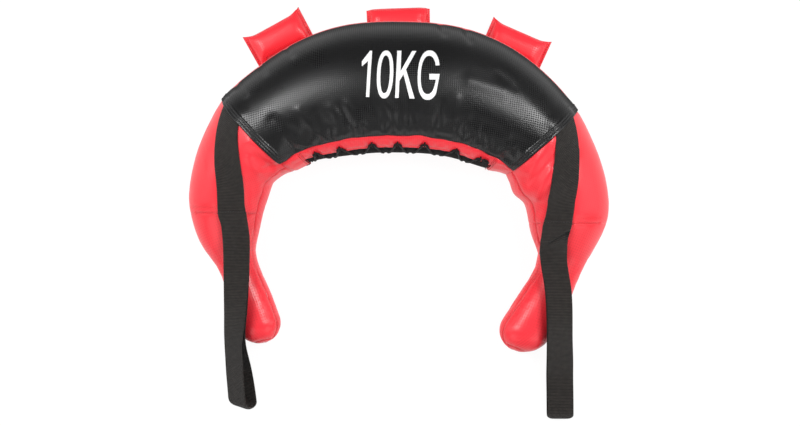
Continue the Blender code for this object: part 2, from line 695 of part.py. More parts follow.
def add_top_grip(side, station, overhang, near_edge, turn):
    """A foam roll in a sleeve whose flat tabs are sewn under the outer rim."""
    outer_x, outer_y, inner_x, inner_y, height, _ = BAG.row_at(station)
    outward = unit(np.array([outer_x - inner_x, outer_y - inner_y]))
    half = math.hypot(outer_x - inner_x, outer_y - inner_y) / 2
    widest = WIDEST_SHARE * height
    cosine, sine = math.cos(math.radians(turn)), math.sin(math.radians(turn))
    tab_top = FLOOR_PLAY + TAB_THICKNESS + SEAM_GAP
    drop = (widest - tab_top) / (LOWER_FULLNESS * widest)
    seat = half * (1 - math.sqrt(1 - drop**2))
    reach = seat + overhang
    hinge = np.array([outer_x, outer_y]) - outward * seat
    outward = np.array([cosine * outward[0] - sine * outward[1],
                        sine * outward[0] + cosine * outward[1]])
    tangent = np.array([outward[1], -outward[0], 0.0])
    origin = (hinge[0], hinge[1], FLOOR_PLAY + TAB_THICKNESS / 2)
    pivot = make_pivot(f"top_grip_{side}_pivot", frame_of(origin, tangent, (0, 0, 1)))
    stops = np.array([0.0, ROLL_SHOULDER * ROLL_HALF_LENGTH, ROLL_HALF_LENGTH,
                      (ROLL_HALF_LENGTH + TAB_START) / 2, TAB_START, GRIP_HALF_LENGTH])
    lengths = [*(-stops[:0:-1]), *stops]
    roll_edge = seat + near_edge
    outside = [grip_ring(length, reach, roll_edge) for length in lengths]
    inside = [grip_ring(length, reach, roll_edge, -SLEEVE_WALL) for length in lengths]
    make_object(f"top_grip_sleeve_{side}", *sleeve(outside, inside), "red_vinyl", parent=pivot)
    core = [grip_ring(length, reach, roll_edge, -SLEEVE_WALL - FOAM_CLEARANCE)
            for length in lengths if abs(length) <= ROLL_HALF_LENGTH]
    make_object(f"top_grip_foam_{side}", *loft(core), "foam", parent=pivot)


def sleeve(outside, inside):
    """Points and triangles of a wall between two lofts, open at both ends."""
    count = len(outside[0])
    rows = len(outside)
    points = [p for ring_points in outside + inside for p in ring_points]
    under = rows * count
    faces = []
    for i in range(rows - 1):
        for j in range(count):
            a, b = i * count + j, i * count + (j + 1) % count
            c, d = b + count, a + count
            faces += [(a, b, c), (a, c, d)]
            faces += [(a + under, c + under, b + under), (a + under, d + under, c + under)]
    for j in range(count):
        a, b = j, (j + 1) % count
        faces += [(b, a, a + under), (b, a + under, b + under)]
        a, b = a + (rows - 1) * count, b + (rows - 1) * count
        faces += [(a, b, b + under), (a, b + under, a + under)]
    return points, faces


# Lacing


def seat_on_skin(station, angle, lift):
    """A place above the skin's facets, with the outward and along directions there."""
    here = BAG.point(station, angle)
    around = BAG.point(station, angle + 1) - BAG.point(station, angle - 1)
    ahead = BAG.point(station + SLOPE_STEP, angle) - BAG.point(station - SLOPE_STEP, angle)
    outward = unit(np.cross(around, ahead))
    start = Vector(here + outward * PROBE_HEIGHT)
    hit = TREE.ray_cast(start, Vector(-outward))[0]
    return np.array(hit) + outward * lift, outward, unit(ahead)


def lace_route():
    """The cord's middle line: under each sewn loop in turn, and across between them."""
    stops = []
    for back, front in zip(LACE_BACK_STATIONS, LACE_FRONT_STATIONS):
        stops += [(back, LACE_BACK_ANGLE), (front, LACE_FRONT_ANGLE)]
    lift = LACE_RADIUS + LACE_LIFT
    apexes = []
    for station, angle in stops:
        ahead = BAG.point(station + SLOPE_STEP, angle) - BAG.point(station - SLOPE_STEP, angle)
        half = LACE_APEX * 2 * SLOPE_STEP / np.linalg.norm(ahead)
        apexes.append((station - half, station + half, angle))
    route = []
    for (before, after, angle), following in zip(apexes, [*apexes[1:], None]):
        route += [seat_on_skin(before, angle, lift)[0], seat_on_skin(after, angle, lift)[0]]
        if following is None:
            break
        arrival, _, next_angle = following
        for leg_angle in LACE_LEG_ANGLES if next_angle > angle else LACE_LEG_ANGLES[::-1]:
            share = (leg_angle - angle) / (next_angle - angle)
            between = after + (arrival - after) * share
            route.append(seat_on_skin(between, leg_angle, lift)[0])
    return route


def add_tube(name, route, radius, look, frame=None):
    """A cord along a list of points, as a bevelled curve with filled caps."""
    curve = bpy.data.curves.new(name, "CURVE")
    curve.dimensions = "3D"
    curve.bevel_depth = radius
    curve.bevel_resolution = 1
    curve.use_fill_caps = True
    spline = curve.splines.new("POLY")
    spline.points.add(len(route) - 1)
    for spot, place in zip(spline.points, route):
        spot.co = (*map(float, place), 1.0)
    return place_object(name, curve, look, frame)


def add_sewn_loop(name, station, angle):
    """A short cord loop, sewn to the flap at both feet, that holds the lace down."""
    foot, outward, ahead = seat_on_skin(station, angle, SEAM_GAP)
    radius = LACE_RADIUS + LOOP_CORD_PLAY + LOOP_CORD_RADIUS
    centre = LACE_RADIUS + LACE_LIFT - SEAM_GAP
    route = [(0, -radius, 0)]
    route += [(0, -radius * math.cos(turn), centre + radius * math.sin(turn))
              for turn in np.linspace(0, math.pi, LOOP_CORD_POINTS)]
    route.append((0, radius, 0))
    frame = frame_of(foot, ahead, outward)
    add_tube(name, route, LOOP_CORD_RADIUS, "black_cord", frame)


def add_knot(name, station, angle, side):
    """The knot that stops the lace at one end."""
    place, outward, ahead = seat_on_skin(station, angle, KNOT_SIZE[2] + SEAM_GAP)
    away = LACE_APEX + SEAM_GAP + KNOT_SIZE[0]
    rings = []
    for number, polar in enumerate(np.linspace(0, math.pi, KNOT_RINGS)):
        size = math.sin(polar)
        count = KNOT_POINTS if 0 < number < KNOT_RINGS - 1 else 1
        turns = [2 * math.pi * k / count for k in range(count)]
        rings.append([np.array([-KNOT_SIZE[0] * math.cos(polar),
                                KNOT_SIZE[1] * size * math.cos(turn),
                                KNOT_SIZE[2] * size * math.sin(turn)]) for turn in turns])
    frame = frame_of(place + ahead * away * side, ahead, outward)
    make_object(name, *loft(rings), "black_cord", frame=frame)


def add_lacing():
    add_tube("lace", lace_route(), LACE_RADIUS, "black_cord")
    for number, station in enumerate(LACE_FRONT_STATIONS, start=1):
        add_sewn_loop(f"lace_loop_front_{number}", station, LACE_FRONT_ANGLE)
    for number, station in enumerate(LACE_BACK_STATIONS, start=1):
        add_sewn_loop(f"lace_loop_back_{number}", station, LACE_BACK_ANGLE)
    add_knot("lace_knot_left", LACE_BACK_STATIONS[0], LACE_BACK_ANGLE, -1)
    add_knot("lace_knot_right", LACE_FRONT_STATIONS[-1], LACE_FRONT_ANGLE, 1)


def main():
    for obj in list(bpy.data.objects):
        bpy.data.objects.remove(obj, do_unlink=True)
    add_skins()
    add_tongue()
    filling_depth = add_wadding() + SAND_CLEARANCE
    add_sand_bags(filling_depth)
    add_grip_foam("grip_foam_left", LEFT_TIP, STATION["left_tack"])
    add_grip_foam("grip_foam_right", RIGHT_TIP, STATION["right_tack"])
    add_anchor("left_strap_anchor", LEFT_WEBBING_ANGLES)
    add_anchor("right_strap_anchor", RIGHT_WEBBING_ANGLES)
    add_loop("left_strap_loop", LEFT_WEBBING_ANGLES, LEFT_LOOP, -1)
    add_loop("right_strap_loop", RIGHT_WEBBING_ANGLES, RIGHT_LOOP, 1)
    for side, values in TOP_GRIPS.items():
        add_top_grip(side, *values)
    add_lacing()
    bpy.context.view_layer.update()


main()
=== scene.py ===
import math

import bpy
import numpy as np
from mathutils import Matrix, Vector, noise
from mathutils.bvhtree import BVHTree
from mathutils.geometry import delaunay_2d_cdt


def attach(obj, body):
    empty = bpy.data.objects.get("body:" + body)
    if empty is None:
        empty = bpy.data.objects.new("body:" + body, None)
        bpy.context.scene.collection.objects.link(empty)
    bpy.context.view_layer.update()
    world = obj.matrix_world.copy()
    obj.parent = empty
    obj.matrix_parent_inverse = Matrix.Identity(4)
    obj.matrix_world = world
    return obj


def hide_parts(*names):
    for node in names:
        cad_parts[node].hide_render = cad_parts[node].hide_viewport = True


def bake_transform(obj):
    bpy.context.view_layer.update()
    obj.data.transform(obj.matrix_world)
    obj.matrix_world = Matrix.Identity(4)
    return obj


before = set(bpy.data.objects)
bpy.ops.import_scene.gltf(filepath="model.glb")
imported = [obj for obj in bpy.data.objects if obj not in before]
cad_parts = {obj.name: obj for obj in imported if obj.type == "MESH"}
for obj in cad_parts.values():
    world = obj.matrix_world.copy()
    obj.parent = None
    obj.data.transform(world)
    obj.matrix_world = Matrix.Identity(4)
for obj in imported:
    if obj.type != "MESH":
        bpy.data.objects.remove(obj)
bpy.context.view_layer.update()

# The bag lies on its back: X to the right-hand grip, Y to the crest, Z up, floor at zero.
# Sizes are metres and angles are degrees. A place on the bag is a station, counted from the left
# tip to the right one, and an angle round the section: 0 outer rim, 90 top, 180 inner rim.

# The photograph: its frame, and the place in it that the camera looks at
PHOTO_WIDTH, PHOTO_HEIGHT = 800, 426
AIM_PIXEL = (PHOTO_WIDTH / 2, PHOTO_HEIGHT / 2)
AIM_PLACE = (0.0020, -0.0006)
PIXEL_SIZE = 0.00145
PIXEL_PLANE = 0.060  # height at which a pixel has that size
CAMERA_DISTANCE = 2.2
SENSOR = 36.0

# Cross-sections: name, outer rim x and y, inner rim x and y, height, bow of the section line
SECTIONS = (
    ("left_dome", -0.240, -0.170, -0.178, -0.152, 0.056, 0.0),
    ("left_grip", -0.251, -0.134, -0.192, -0.114, 0.056, 0.0),
    ("left_neck", -0.271, -0.078, -0.212, -0.055, 0.058, 0.0),
    ("left_fore", -0.295, -0.038, -0.206, -0.022, 0.076, 0.0),
    ("left_tack", -0.306, 0.000, -0.201, -0.001, 0.090, 0.0),
    ("left_arm", -0.307, 0.037, -0.190, 0.032, 0.102, -0.001),
    ("left_bend", -0.298, 0.080, -0.182, 0.047, 0.110, -0.004),
    ("left_elbow", -0.280, 0.125, -0.166, 0.058, 0.118, -0.006),
    ("left_hem", -0.2535, 0.1695, -0.1525, 0.0625, 0.127, -0.0095),
    ("left_lace_end", -0.222, 0.199, -0.131, 0.072, 0.134, -0.005),
    ("left_shoulder", -0.167, 0.238, -0.090, 0.080, 0.142, -0.002),
    ("left_crown", -0.087, 0.270, -0.045, 0.085, 0.149, 0.0),
    ("middle", -0.001, 0.277, -0.001, 0.086, 0.150, 0.0),
    ("right_crown", 0.085, 0.269, 0.043, 0.084, 0.149, 0.0),
    ("right_shoulder", 0.165, 0.237, 0.088, 0.075, 0.143, 0.001),
    ("right_lace_end", 0.216, 0.197, 0.125, 0.064, 0.136, 0.003),
    ("right_hem", 0.2530, 0.1545, 0.1515, 0.0570, 0.129, 0.0045),
    ("right_elbow", 0.278, 0.109, 0.162, 0.039, 0.122, 0.003),
    ("right_bend", 0.294, 0.068, 0.169, 0.026, 0.118, 0.002),
    ("right_arm", 0.303, 0.028, 0.181, 0.014, 0.110, 0.001),
    ("right_tack", 0.301, -0.015, 0.189, -0.015, 0.098, 0.0),
    ("right_fore", 0.289, -0.044, 0.195, -0.037, 0.082, 0.0),
    ("right_neck", 0.275, -0.071, 0.202, -0.056, 0.064, 0.0),
    ("right_grip", 0.243, -0.144, 0.178, -0.115, 0.060, 0.0),
    ("right_dome", 0.219, -0.186, 0.152, -0.156, 0.060, 0.0),
)
PLAN_SHIFT = AIM_PLACE
WIDEST_SHARE = 0.42
LOWER_FULLNESS = 1.25
DOME_SHARE = 0.97
FLOOR_ROUNDING = 0.005
STATION = {row[0]: number + 1 for number, row in enumerate(SECTIONS)}
LAST = len(SECTIONS)
TIPS = (0, LAST + 1)
GRIP_SEAM = 1 / 3

# Seams round the section
OUTER_SEAM, FRONT_SEAM, ARM_SEAM, FLAP_EDGE = 12, 140, 151, 156.5
BACK_FLAP_EDGE, BACK_SEAM = 201, 216
FULL_TURN = OUTER_SEAM + 360

# Spacing of the surface's points
RING_STEP = 0.0055
DOME_STEPS = 9
COLUMN_STEP = 4.6
BESIDE_SEAM = (0.16, 0.4, 0.7)  # extra lines each side of a seam, in grid steps

# Cloth
VINYL = 0.0012
SEAM_DEPTH = 0.0016
SEAM_REACH = 0.0022
PUCKER = 0.0012
PUCKER_SPACING = 0.012
PUCKER_REACH = 0.011
OVER_LINING = 0.0007  # least height of the vinyl's outer face over the lining
INSIDE_SHARE = 0.7  # how squarely a point must lie behind the lining's nearest face to be inside it
LINING = ("wadding_sleeve", "grip_foam_left", "grip_foam_right")
HEM_LIFT = 0.0024
HEM_WIDTH = 0.0105
HEM_FADE = 0.022
HEM_ROUNDING = 0.0012
HEM_STITCH_LINES = (0.0046, 0.0084)
OVER_WEBBING = 0.0018
TUCK = 0.009  # how far the webbing runs on under the hem
TONGUE_DROP = 0.0018  # how far the tongue lies under the flaps
TONGUE_LAP = 0.5  # stations that it runs on past each end of the opening
RUBBED_SLOPE, RUBBED_FADE = 0.62, 0.35  # upward share of the normal below which vinyl is dull, and over what
SEAM_UNEVENNESS = 2.6  # degrees that the seam over the opening strays
SEAM_WAVES = 2.2
HEM_SLIDES = {"left_hem": -0.09, "right_hem": 0.12}  # stations that the hems lie further down the arms
CORNER_SLIDE = 10  # degrees that the black panel's right corner lies nearer the inner rim
FLAP_PULL = 2.6  # degrees that each sewn loop draws the flap's edge up
FOLDS = (
    # Height in millimetres, above or below the skin, reach in millimetres, line in the photograph
    (2.5, 8, (249, 142), (262, 150), (275, 159)),
    (-2.0, 5, (257, 158), (270, 166)),
    (2.0, 4, (248, 157), (252, 166), (259, 172)),
    (-2.1, 4, (262, 170), (281, 165)),
    (2.1, 4, (267, 179), (276, 173)),
    (-1.5, 7, (250, 184), (256, 202)),
    (1.5, 9, (209, 172), (215, 204)),
    (2.5, 7, (553, 140), (531, 171)),
    (-2.0, 6, (553, 156), (530, 185)),
    (2.4, 6, (551, 170), (537, 196)),
    (-1.8, 6, (549, 190), (538, 212)),
    (1.5, 9, (580, 160), (579, 212)),
    (1.4, 6.5, (331, 108), (344, 126)),
    (-1.5, 5.5, (340, 107), (350, 125)),
    (1.4, 6, (347, 104), (357, 123)),
    (-1.4, 7, (317, 113), (331, 129)),
    (-1.8, 9, (273, 120), (295, 134)),
    (1.3, 6, (299, 110), (312, 129)),
    (-1.2, 6.5, (371, 104), (378, 120)),
    (1.2, 6.5, (383, 97), (393, 112)),
    (-1.2, 6.5, (409, 104), (408, 120)),
    (1.1, 6.5, (428, 100), (425, 118)),
    (-1.3, 6.5, (442, 104), (439, 120)),
    (1.3, 6.5, (456, 98), (453, 118)),
    (-1.7, 9, (476, 120), (498, 131)),
    (-1.5, 7, (499, 74), (514, 87)),
    (-1.7, 9, (513, 140), (541, 149)),
    (1.2, 13, (514, 88), (552, 124)),
    (1.4, 9, (470, 80), (503, 90)),
    (-1.7, 4, (440, 25), (445, 34)),
    (-1.7, 4, (465, 30), (471, 41)),
    (-1.7, 5, (236, 85), (245, 95)),
    (-1.6, 4, (284, 46), (292, 55)),
    (-1.4, 4, (257, 63), (264, 73)),
)
LACE_FRONT_STATIONS = (10.43, 11.21, 12.17, 12.95, 13.77, 14.72, 15.53)

# Settling of the skin
SETTLING_FRAMES = 14
FILLING_PRESSURE = 40.0
SLACK = 0.07
SEAM_HOLD = 1.0
OPEN_HOLD = 0.30
WEBBING_HOLD = 0.92
STRAP_MARGIN, STRAP_REACH = 0.2, 24  # stations past its ends and degrees beside it that the webbing holds
LACED_HOLD = 0.8
FLOOR_HOLD = 1.0
FOLD_PASSES = 7  # rounds of averaging that leave the large folds
FOLD_GAIN = 1.7
FINE_SHARE, GATHERED_SHARE = 0.15, 0.6  # of the small folds that stay everywhere, and more beside the flap
GATHERED_ANGLE, GATHERED_REACH = FRONT_SEAM - 8, 34
MOST_OUT = 0.0045
MOST_IN = 0.0016
SLIP, SLIP_PASSES = 0.3, 2  # share of the sideways shift that stays, and rounds of averaging
HEM_GRIP = 0.6  # stations each side of a hem within which it hardly shifts
FLOOR_GAP = 0.0002
CLOTH_SETTINGS = {
    "quality": 6,
    "mass": 0.01,
    "tension_stiffness": 12,
    "compression_stiffness": 12,
    "shear_stiffness": 6,
    "bending_stiffness": 4,
    "tension_damping": 0.2,
    "compression_damping": 0.2,
    "shear_damping": 0.2,
    "vertex_group_mass": "held",
    "pin_stiffness": 1.0,
    "vertex_group_shrink": "taut",
    "shrink_min": -SLACK,
    "shrink_max": 0.0,
    "use_pressure": True,
    "uniform_pressure_force": FILLING_PRESSURE,
}

# Webbing
WEBBING_WIDTH = 0.038
WEBBING_THICKNESS = 0.0020

STRAPS = {
    # The middle round the section by station, the loop's path, the way to its outer edge
    "left": (
        {"left_hem": 52.5, "left_elbow": 70.8, "left_bend": 88, "left_arm": 97.3, "left_tack": 104.8},
        ((-0.2361, -0.039, -4, 0), (-0.2364, -0.068, 6, 0), (-0.2372, -0.112, 20, 0),
         (-0.2392, -0.156, 32, 0), (-0.2420, -0.191, 34, -2), (-0.2398, -0.232, 14, -7),
         (-0.2350, -0.277, 0, -12)),
        -1),
    "right": (
        {"right_hem": 57.5, "right_elbow": 75.6, "right_bend": 89.4, "right_arm": 102.6,
         "right_tack": 111.1},
        ((0.2215, -0.046, -6, 0), (0.2225, -0.071, 0, 0), (0.2277, -0.103, 5, 0),
         (0.2299, -0.134, 10, 0), (0.2321, -0.179, 16, 0), (0.2355, -0.224, 6, 0),
         (0.2372, -0.294, 0, 0)),
        1),
}


def unit(vector):
    return vector / np.linalg.norm(vector, axis=-1, keepdims=True)


def smooth_step(share):
    share = np.clip(share, 0.0, 1.0)
    return share * share * (3 - 2 * share)


def near(value, middle, reach):
    """1 at the middle, down to 0 at the reach from it."""
    return 1 - smooth_step(np.abs(value - middle) / reach)


def natural_bends(knots, values):
    """Second derivatives at the knots of a natural cubic spline through the values."""
    gaps = np.diff(knots)
    system = np.eye(len(knots))
    right = np.zeros_like(values)
    for i in range(1, len(knots) - 1):
        system[i, i - 1:i + 2] = gaps[i - 1], 2 * (gaps[i - 1] + gaps[i]), gaps[i]
        rise = (values[i + 1] - values[i]) / gaps[i] - (values[i] - values[i - 1]) / gaps[i - 1]
        right[i] = 6 * rise
    return np.linalg.solve(system, right)


def spline_value(place, knots, values, bends):
    i = int(np.clip(np.searchsorted(knots, place) - 1, 0, len(knots) - 2))
    gap = knots[i + 1] - knots[i]
    first, last = (knots[i + 1] - place) / gap, (place - knots[i]) / gap
    curve = (first**3 - first) * bends[i] + (last**3 - last) * bends[i + 1]
    return first * values[i] + last * values[i + 1] + curve * gap**2 / 6


def quads(rows, columns, closed=False):
    """The faces of a grid of points, whose columns may close round."""
    faces = []
    for i in range(rows - 1):
        for j in range(columns if closed else columns - 1):
            a, b = i * columns + j, i * columns + (j + 1) % columns
            faces.append((a, b, b + columns, a + columns))
    return faces


# Materials


def colour(code):
    """A colour written as on a screen, turned to the linear values that the shader takes."""
    parts = [int(code[i:i + 2], 16) / 255 for i in (1, 3, 5)]
    linear = [p / 12.92 if p <= 0.04045 else ((p + 0.055) / 1.055) ** 2.4 for p in parts]
    return (*linear, 1.0)


def fill_sockets(tree, node, values):
    """What the node's sockets, by name or by number, hold: values, or other nodes' outputs."""
    for key, value in values.items():
        socket = node.inputs[int(key[1:]) if key[1:].isdigit() else key.replace("_", " ")]
        if isinstance(value, bpy.types.NodeSocket):
            tree.links.new(value, socket)
        else:
            socket.default_value = value


def add_node(tree, kind, **values):
    """A node with its settings, whose names are in small letters, and its sockets' values."""
    node = tree.nodes.new(kind)
    for key in [key for key in values if key.islower()]:
        setattr(node, key, values.pop(key))
    fill_sockets(tree, node, values)
    return node


def start_material(name):
    material = bpy.data.materials.new(name)
    material.use_nodes = True
    tree = material.node_tree
    return material, tree, tree.nodes["Principled BSDF"]


def grid_relief(tree, where, pitch):
    """The relief that a woven base leaves in vinyl: smooth, with a pit at each opening of the weave."""
    scaled = add_node(tree, "ShaderNodeVectorMath", operation="SCALE", _0=where, Scale=math.pi / pitch)
    parts = add_node(tree, "ShaderNodeSeparateXYZ", _0=scaled.outputs[0])
    waves = [add_node(tree, "ShaderNodeMath", operation="SINE", _0=parts.outputs[i]) for i in (0, 1)]
    both = add_node(tree, "ShaderNodeMath", operation="MULTIPLY", _0=waves[0].outputs[0],
                    _1=waves[1].outputs[0])
    pit = add_node(tree, "ShaderNodeMath", operation="POWER", _0=both.outputs[0], _1=2.0)
    smooth = add_node(tree, "ShaderNodeMath", operation="SUBTRACT", _0=1.0, _1=pit.outputs[0])
    return smooth.outputs[0]


def vinyl(name, main, shade, roughness, emboss, pits, worn=0.0):
    """Calendered vinyl on a woven base: half-gloss, the base's grid pressed through, dull where worn, and
    darkened by painted shade in the grid's pits and along seams and creases.
    """
    material, tree, shader = start_material(name)
    where = add_node(tree, "ShaderNodeUVMap", uv_map="cut").outputs[0]
    relief = grid_relief(tree, where, WEAVE_PITCH)
    place = add_node(tree, "ShaderNodeTexCoord").outputs["Object"]
    cloud = add_node(tree, "ShaderNodeTexNoise", Vector=place, Scale=CLOUDS_A_METRE, Detail=3.0)
    grain = add_node(tree, "ShaderNodeTexNoise", Vector=place, Scale=GRAINS_A_METRE, Detail=2.0)
    crease = add_node(tree, "ShaderNodeAttribute", attribute_name="crease").outputs["Fac"]
    pit = add_node(tree, "ShaderNodeMapRange", Value=relief, _3=pits, _4=0.0)
    # Painted shade: the shade colour is mixed in along seams and creases and in the grid's pits
    painted_shade = add_node(tree, "ShaderNodeMath", operation="MULTIPLY_ADD", _0=crease, _1=CREASE_SHADE,
                    _2=pit.outputs[0])
    mix = add_node(tree, "ShaderNodeMix", data_type="RGBA", _0=painted_shade.outputs[0], _6=colour(main),
                   _7=colour(shade))
    gloss = add_node(tree, "ShaderNodeMapRange", Value=cloud.outputs[0], _1=NOISE_RANGE[0],
                     _2=NOISE_RANGE[1], _3=roughness - GLOSSIER, _4=roughness + DULLER)
    rubbed = add_node(tree, "ShaderNodeAttribute", attribute_name="worn").outputs["Fac"]
    dull = add_node(tree, "ShaderNodeMath", operation="MULTIPLY_ADD", _0=rubbed, _1=worn,
                    _2=gloss.outputs[0])
    pitted = add_node(tree, "ShaderNodeMath", operation="MULTIPLY_ADD", _0=pit.outputs[0], _1=PIT_DULLNESS,
                      _2=dull.outputs[0])
    height = add_node(tree, "ShaderNodeMath", operation="MULTIPLY_ADD", _0=grain.outputs[0], _1=GRAIN_HEIGHT,
                      _2=relief)
    bump = add_node(tree, "ShaderNodeBump", Strength=emboss, Distance=EMBOSS_HEIGHT,
                    Height=height.outputs[0])
    fill_sockets(tree, shader, {"Base_Color": mix.outputs[2], "Roughness": pitted.outputs[0],
                                "Normal": bump.outputs[0], "IOR": 1.52})
    return material


def webbing_cloth():
    """Woven polyester webbing: ribs across it, each a row of weft floats, and matt; painted highlight
    lightens the ribs' tops, unevenly faded, and painted shade darkens its fold.
    """
    material, tree, shader = start_material("webbing_cloth")
    where = add_node(tree, "ShaderNodeUVMap", uv_map="cut").outputs[0]
    parts = add_node(tree, "ShaderNodeSeparateXYZ", _0=where)
    rib_phase = add_node(tree, "ShaderNodeMath", operation="MULTIPLY", _0=parts.outputs[0],
                         _1=2 * math.pi / RIB_PITCH)
    rib = add_node(tree, "ShaderNodeMath", operation="SINE", _0=rib_phase.outputs[0])
    float_phase = add_node(tree, "ShaderNodeMath", operation="MULTIPLY", _0=parts.outputs[1],
                           _1=2 * math.pi / FLOAT_PITCH)
    strand = add_node(tree, "ShaderNodeMath", operation="SINE", _0=float_phase.outputs[0])
    height = add_node(tree, "ShaderNodeMath", operation="MULTIPLY_ADD", _0=strand.outputs[0], _1=FLOAT_HEIGHT,
                      _2=rib.outputs[0])
    place = add_node(tree, "ShaderNodeTexCoord").outputs["Object"]
    fuzz = add_node(tree, "ShaderNodeTexNoise", Vector=place, Scale=TUFTS_A_METRE, Detail=3.0)
    rib_highlight = add_node(tree, "ShaderNodeMapRange", Value=height.outputs[0], _1=-1 - FLOAT_HEIGHT,
                    _2=1 + FLOAT_HEIGHT)
    faded = add_node(tree, "ShaderNodeMapRange", Value=fuzz.outputs[0], _1=NOISE_RANGE[0],
                     _2=NOISE_RANGE[1], _3=LEAST_FADED, _4=MOST_FADED)
    # Painted highlight on the ribs' tops, with random fading
    worn = add_node(tree, "ShaderNodeMath", operation="MULTIPLY", _0=rib_highlight.outputs[0],
                    _1=faded.outputs[0])
    # Painted shade along the strap's fold and in the shadow beside it
    crease = add_node(tree, "ShaderNodeAttribute", attribute_name="crease").outputs["Fac"]
    clear = add_node(tree, "ShaderNodeMath", operation="SUBTRACT", _0=1.0, _1=crease)
    lit = add_node(tree, "ShaderNodeMath", operation="MULTIPLY", _0=worn.outputs[0], _1=clear.outputs[0])
    mix = add_node(tree, "ShaderNodeMix", data_type="RGBA", _0=lit.outputs[0], _6=colour("#090808"),
                   _7=colour("#4A433E"))
    bump = add_node(tree, "ShaderNodeBump", Strength=1.0, Distance=RIB_HEIGHT, Height=height.outputs[0])
    fill_sockets(tree, shader, {"Base_Color": mix.outputs[2], "Roughness": 0.78, "Sheen_Weight": 0.08,
                                "Specular_IOR_Level": 0.3, "Normal": bump.outputs[0]})
    return material


def plain_cloth(name, main, shade, thread, roughness):
    """A close plain weave, drawn on the piece's own place."""
    material, tree, shader = start_material(name)
    place = add_node(tree, "ShaderNodeTexCoord").outputs["Object"]
    weave = add_node(tree, "ShaderNodeTexNoise", Vector=place, Scale=1 / thread, Detail=4.0)
    mix = add_node(tree, "ShaderNodeMix", data_type="RGBA", _0=weave.outputs[0], _6=colour(main),
                   _7=colour(shade))
    bump = add_node(tree, "ShaderNodeBump", Strength=0.6, Distance=thread / 2, Height=weave.outputs[0])
    fill_sockets(tree, shader, {"Base_Color": mix.outputs[2], "Roughness": roughness,
                                "Specular_IOR_Level": 0.25, "Normal": bump.outputs[0]})
    return material


WEAVE_PITCH = 0.0029  # of the grid in the vinyl, as wide as the photograph shows it
EMBOSS_HEIGHT = 0.0008
NOISE_RANGE = (0.3, 0.7)  # between which nearly all values of a noise lie
CLOUDS_A_METRE, GRAINS_A_METRE = 14.0, 900.0
GRAIN_HEIGHT = 0.12  # of the fine grain, as a share of the grid's
GLOSSIER, DULLER = 0.04, 0.06  # how far the clouds change the roughness each way
# How strongly painted shade darkens seams and creases, and how much duller the grid's pits are
CREASE_SHADE, PIT_DULLNESS = 0.45, 0.5
TUFTS_A_METRE = 160.0
LEAST_FADED, MOST_FADED = 0.45, 0.8
FLOAT_HEIGHT = 0.4  # of a weft float, as a share of a rib's
RIB_PITCH, FLOAT_PITCH = 0.0022, 0.0013  # of the webbing's weave, coarser than real so that it shows
RIB_HEIGHT = 0.0005

# Red: bright, with soft pink highlights; the grid shows only as a faint texture
RED = vinyl("red_vinyl", "#FC333F", "#C00F1A", 0.33, 0.14, 0.24)
# Black: deep, with grey highlights that the pressed grid breaks into small dots
BLACK = vinyl("black_vinyl", "#0A0A0B", "#040405", 0.28, 0.20, 0.8, worn=0.6)
WEBBING = webbing_cloth()
# Round braid, nearly black and matt
CORD = plain_cloth("braided_cord", "#0B0B0C", "#242324", 0.0012, 0.7)
# Bonded sewing thread: a little glossier than what it holds, so that it glints
THREAD = plain_cloth("black_thread", "#1A1A1B", "#4A494C", 0.0008, 0.35)
RED_THREAD = plain_cloth("red_thread", "#E02C38", "#A81620", 0.0008, 0.45)
# Lining cloth of the tongue, dull and quite dark
TONGUE_CLOTH = plain_cloth("tongue_lining", "#080809", "#151516", 0.0009, 0.95)
# Screen print: a matt white film, with the grid under it just felt
INK_WHITE = vinyl("printed_white", "#F2F2F2", "#DADADC", 0.5, 0.15, 0.25)
# Needle felt of grey wool waste: hairy and dull
FELT = plain_cloth("wadding_felt", "#8C8A86", "#5E5B57", 0.0022, 0.95)
# Close-woven cotton, unbleached
CANVAS = plain_cloth("sand_bag_canvas", "#B9AE97", "#8F846E", 0.0011, 0.9)
# Open-celled foam, pale and dull
FOAM = plain_cloth("grip_foam", "#C9C7BE", "#9F9D92", 0.0009, 0.95)


# Meshes


def new_object(name, points, faces, material, cut=None, crease=None, worn=None):
    mesh = bpy.data.meshes.new(name)
    mesh.from_pydata([tuple(p) for p in np.asarray(points, dtype=float)], [], faces)
    mesh.materials.append(material)
    corners = np.zeros(len(mesh.loops), dtype=np.int32)
    mesh.loops.foreach_get("vertex_index", corners)
    if cut is not None:
        layer = mesh.uv_layers.new(name="cut")
        layer.data.foreach_set("uv", np.asarray(cut, dtype=np.float32)[corners].ravel())
    for kind, values in (("crease", crease), ("worn", worn)):
        if values is not None:
            attribute = mesh.attributes.new(kind, "FLOAT", "POINT")
            attribute.data.foreach_set("value", np.asarray(values, dtype=np.float32))
    mesh.shade_smooth()
    obj = bpy.data.objects.new(name, mesh)
    bpy.context.scene.collection.objects.link(obj)
    return obj


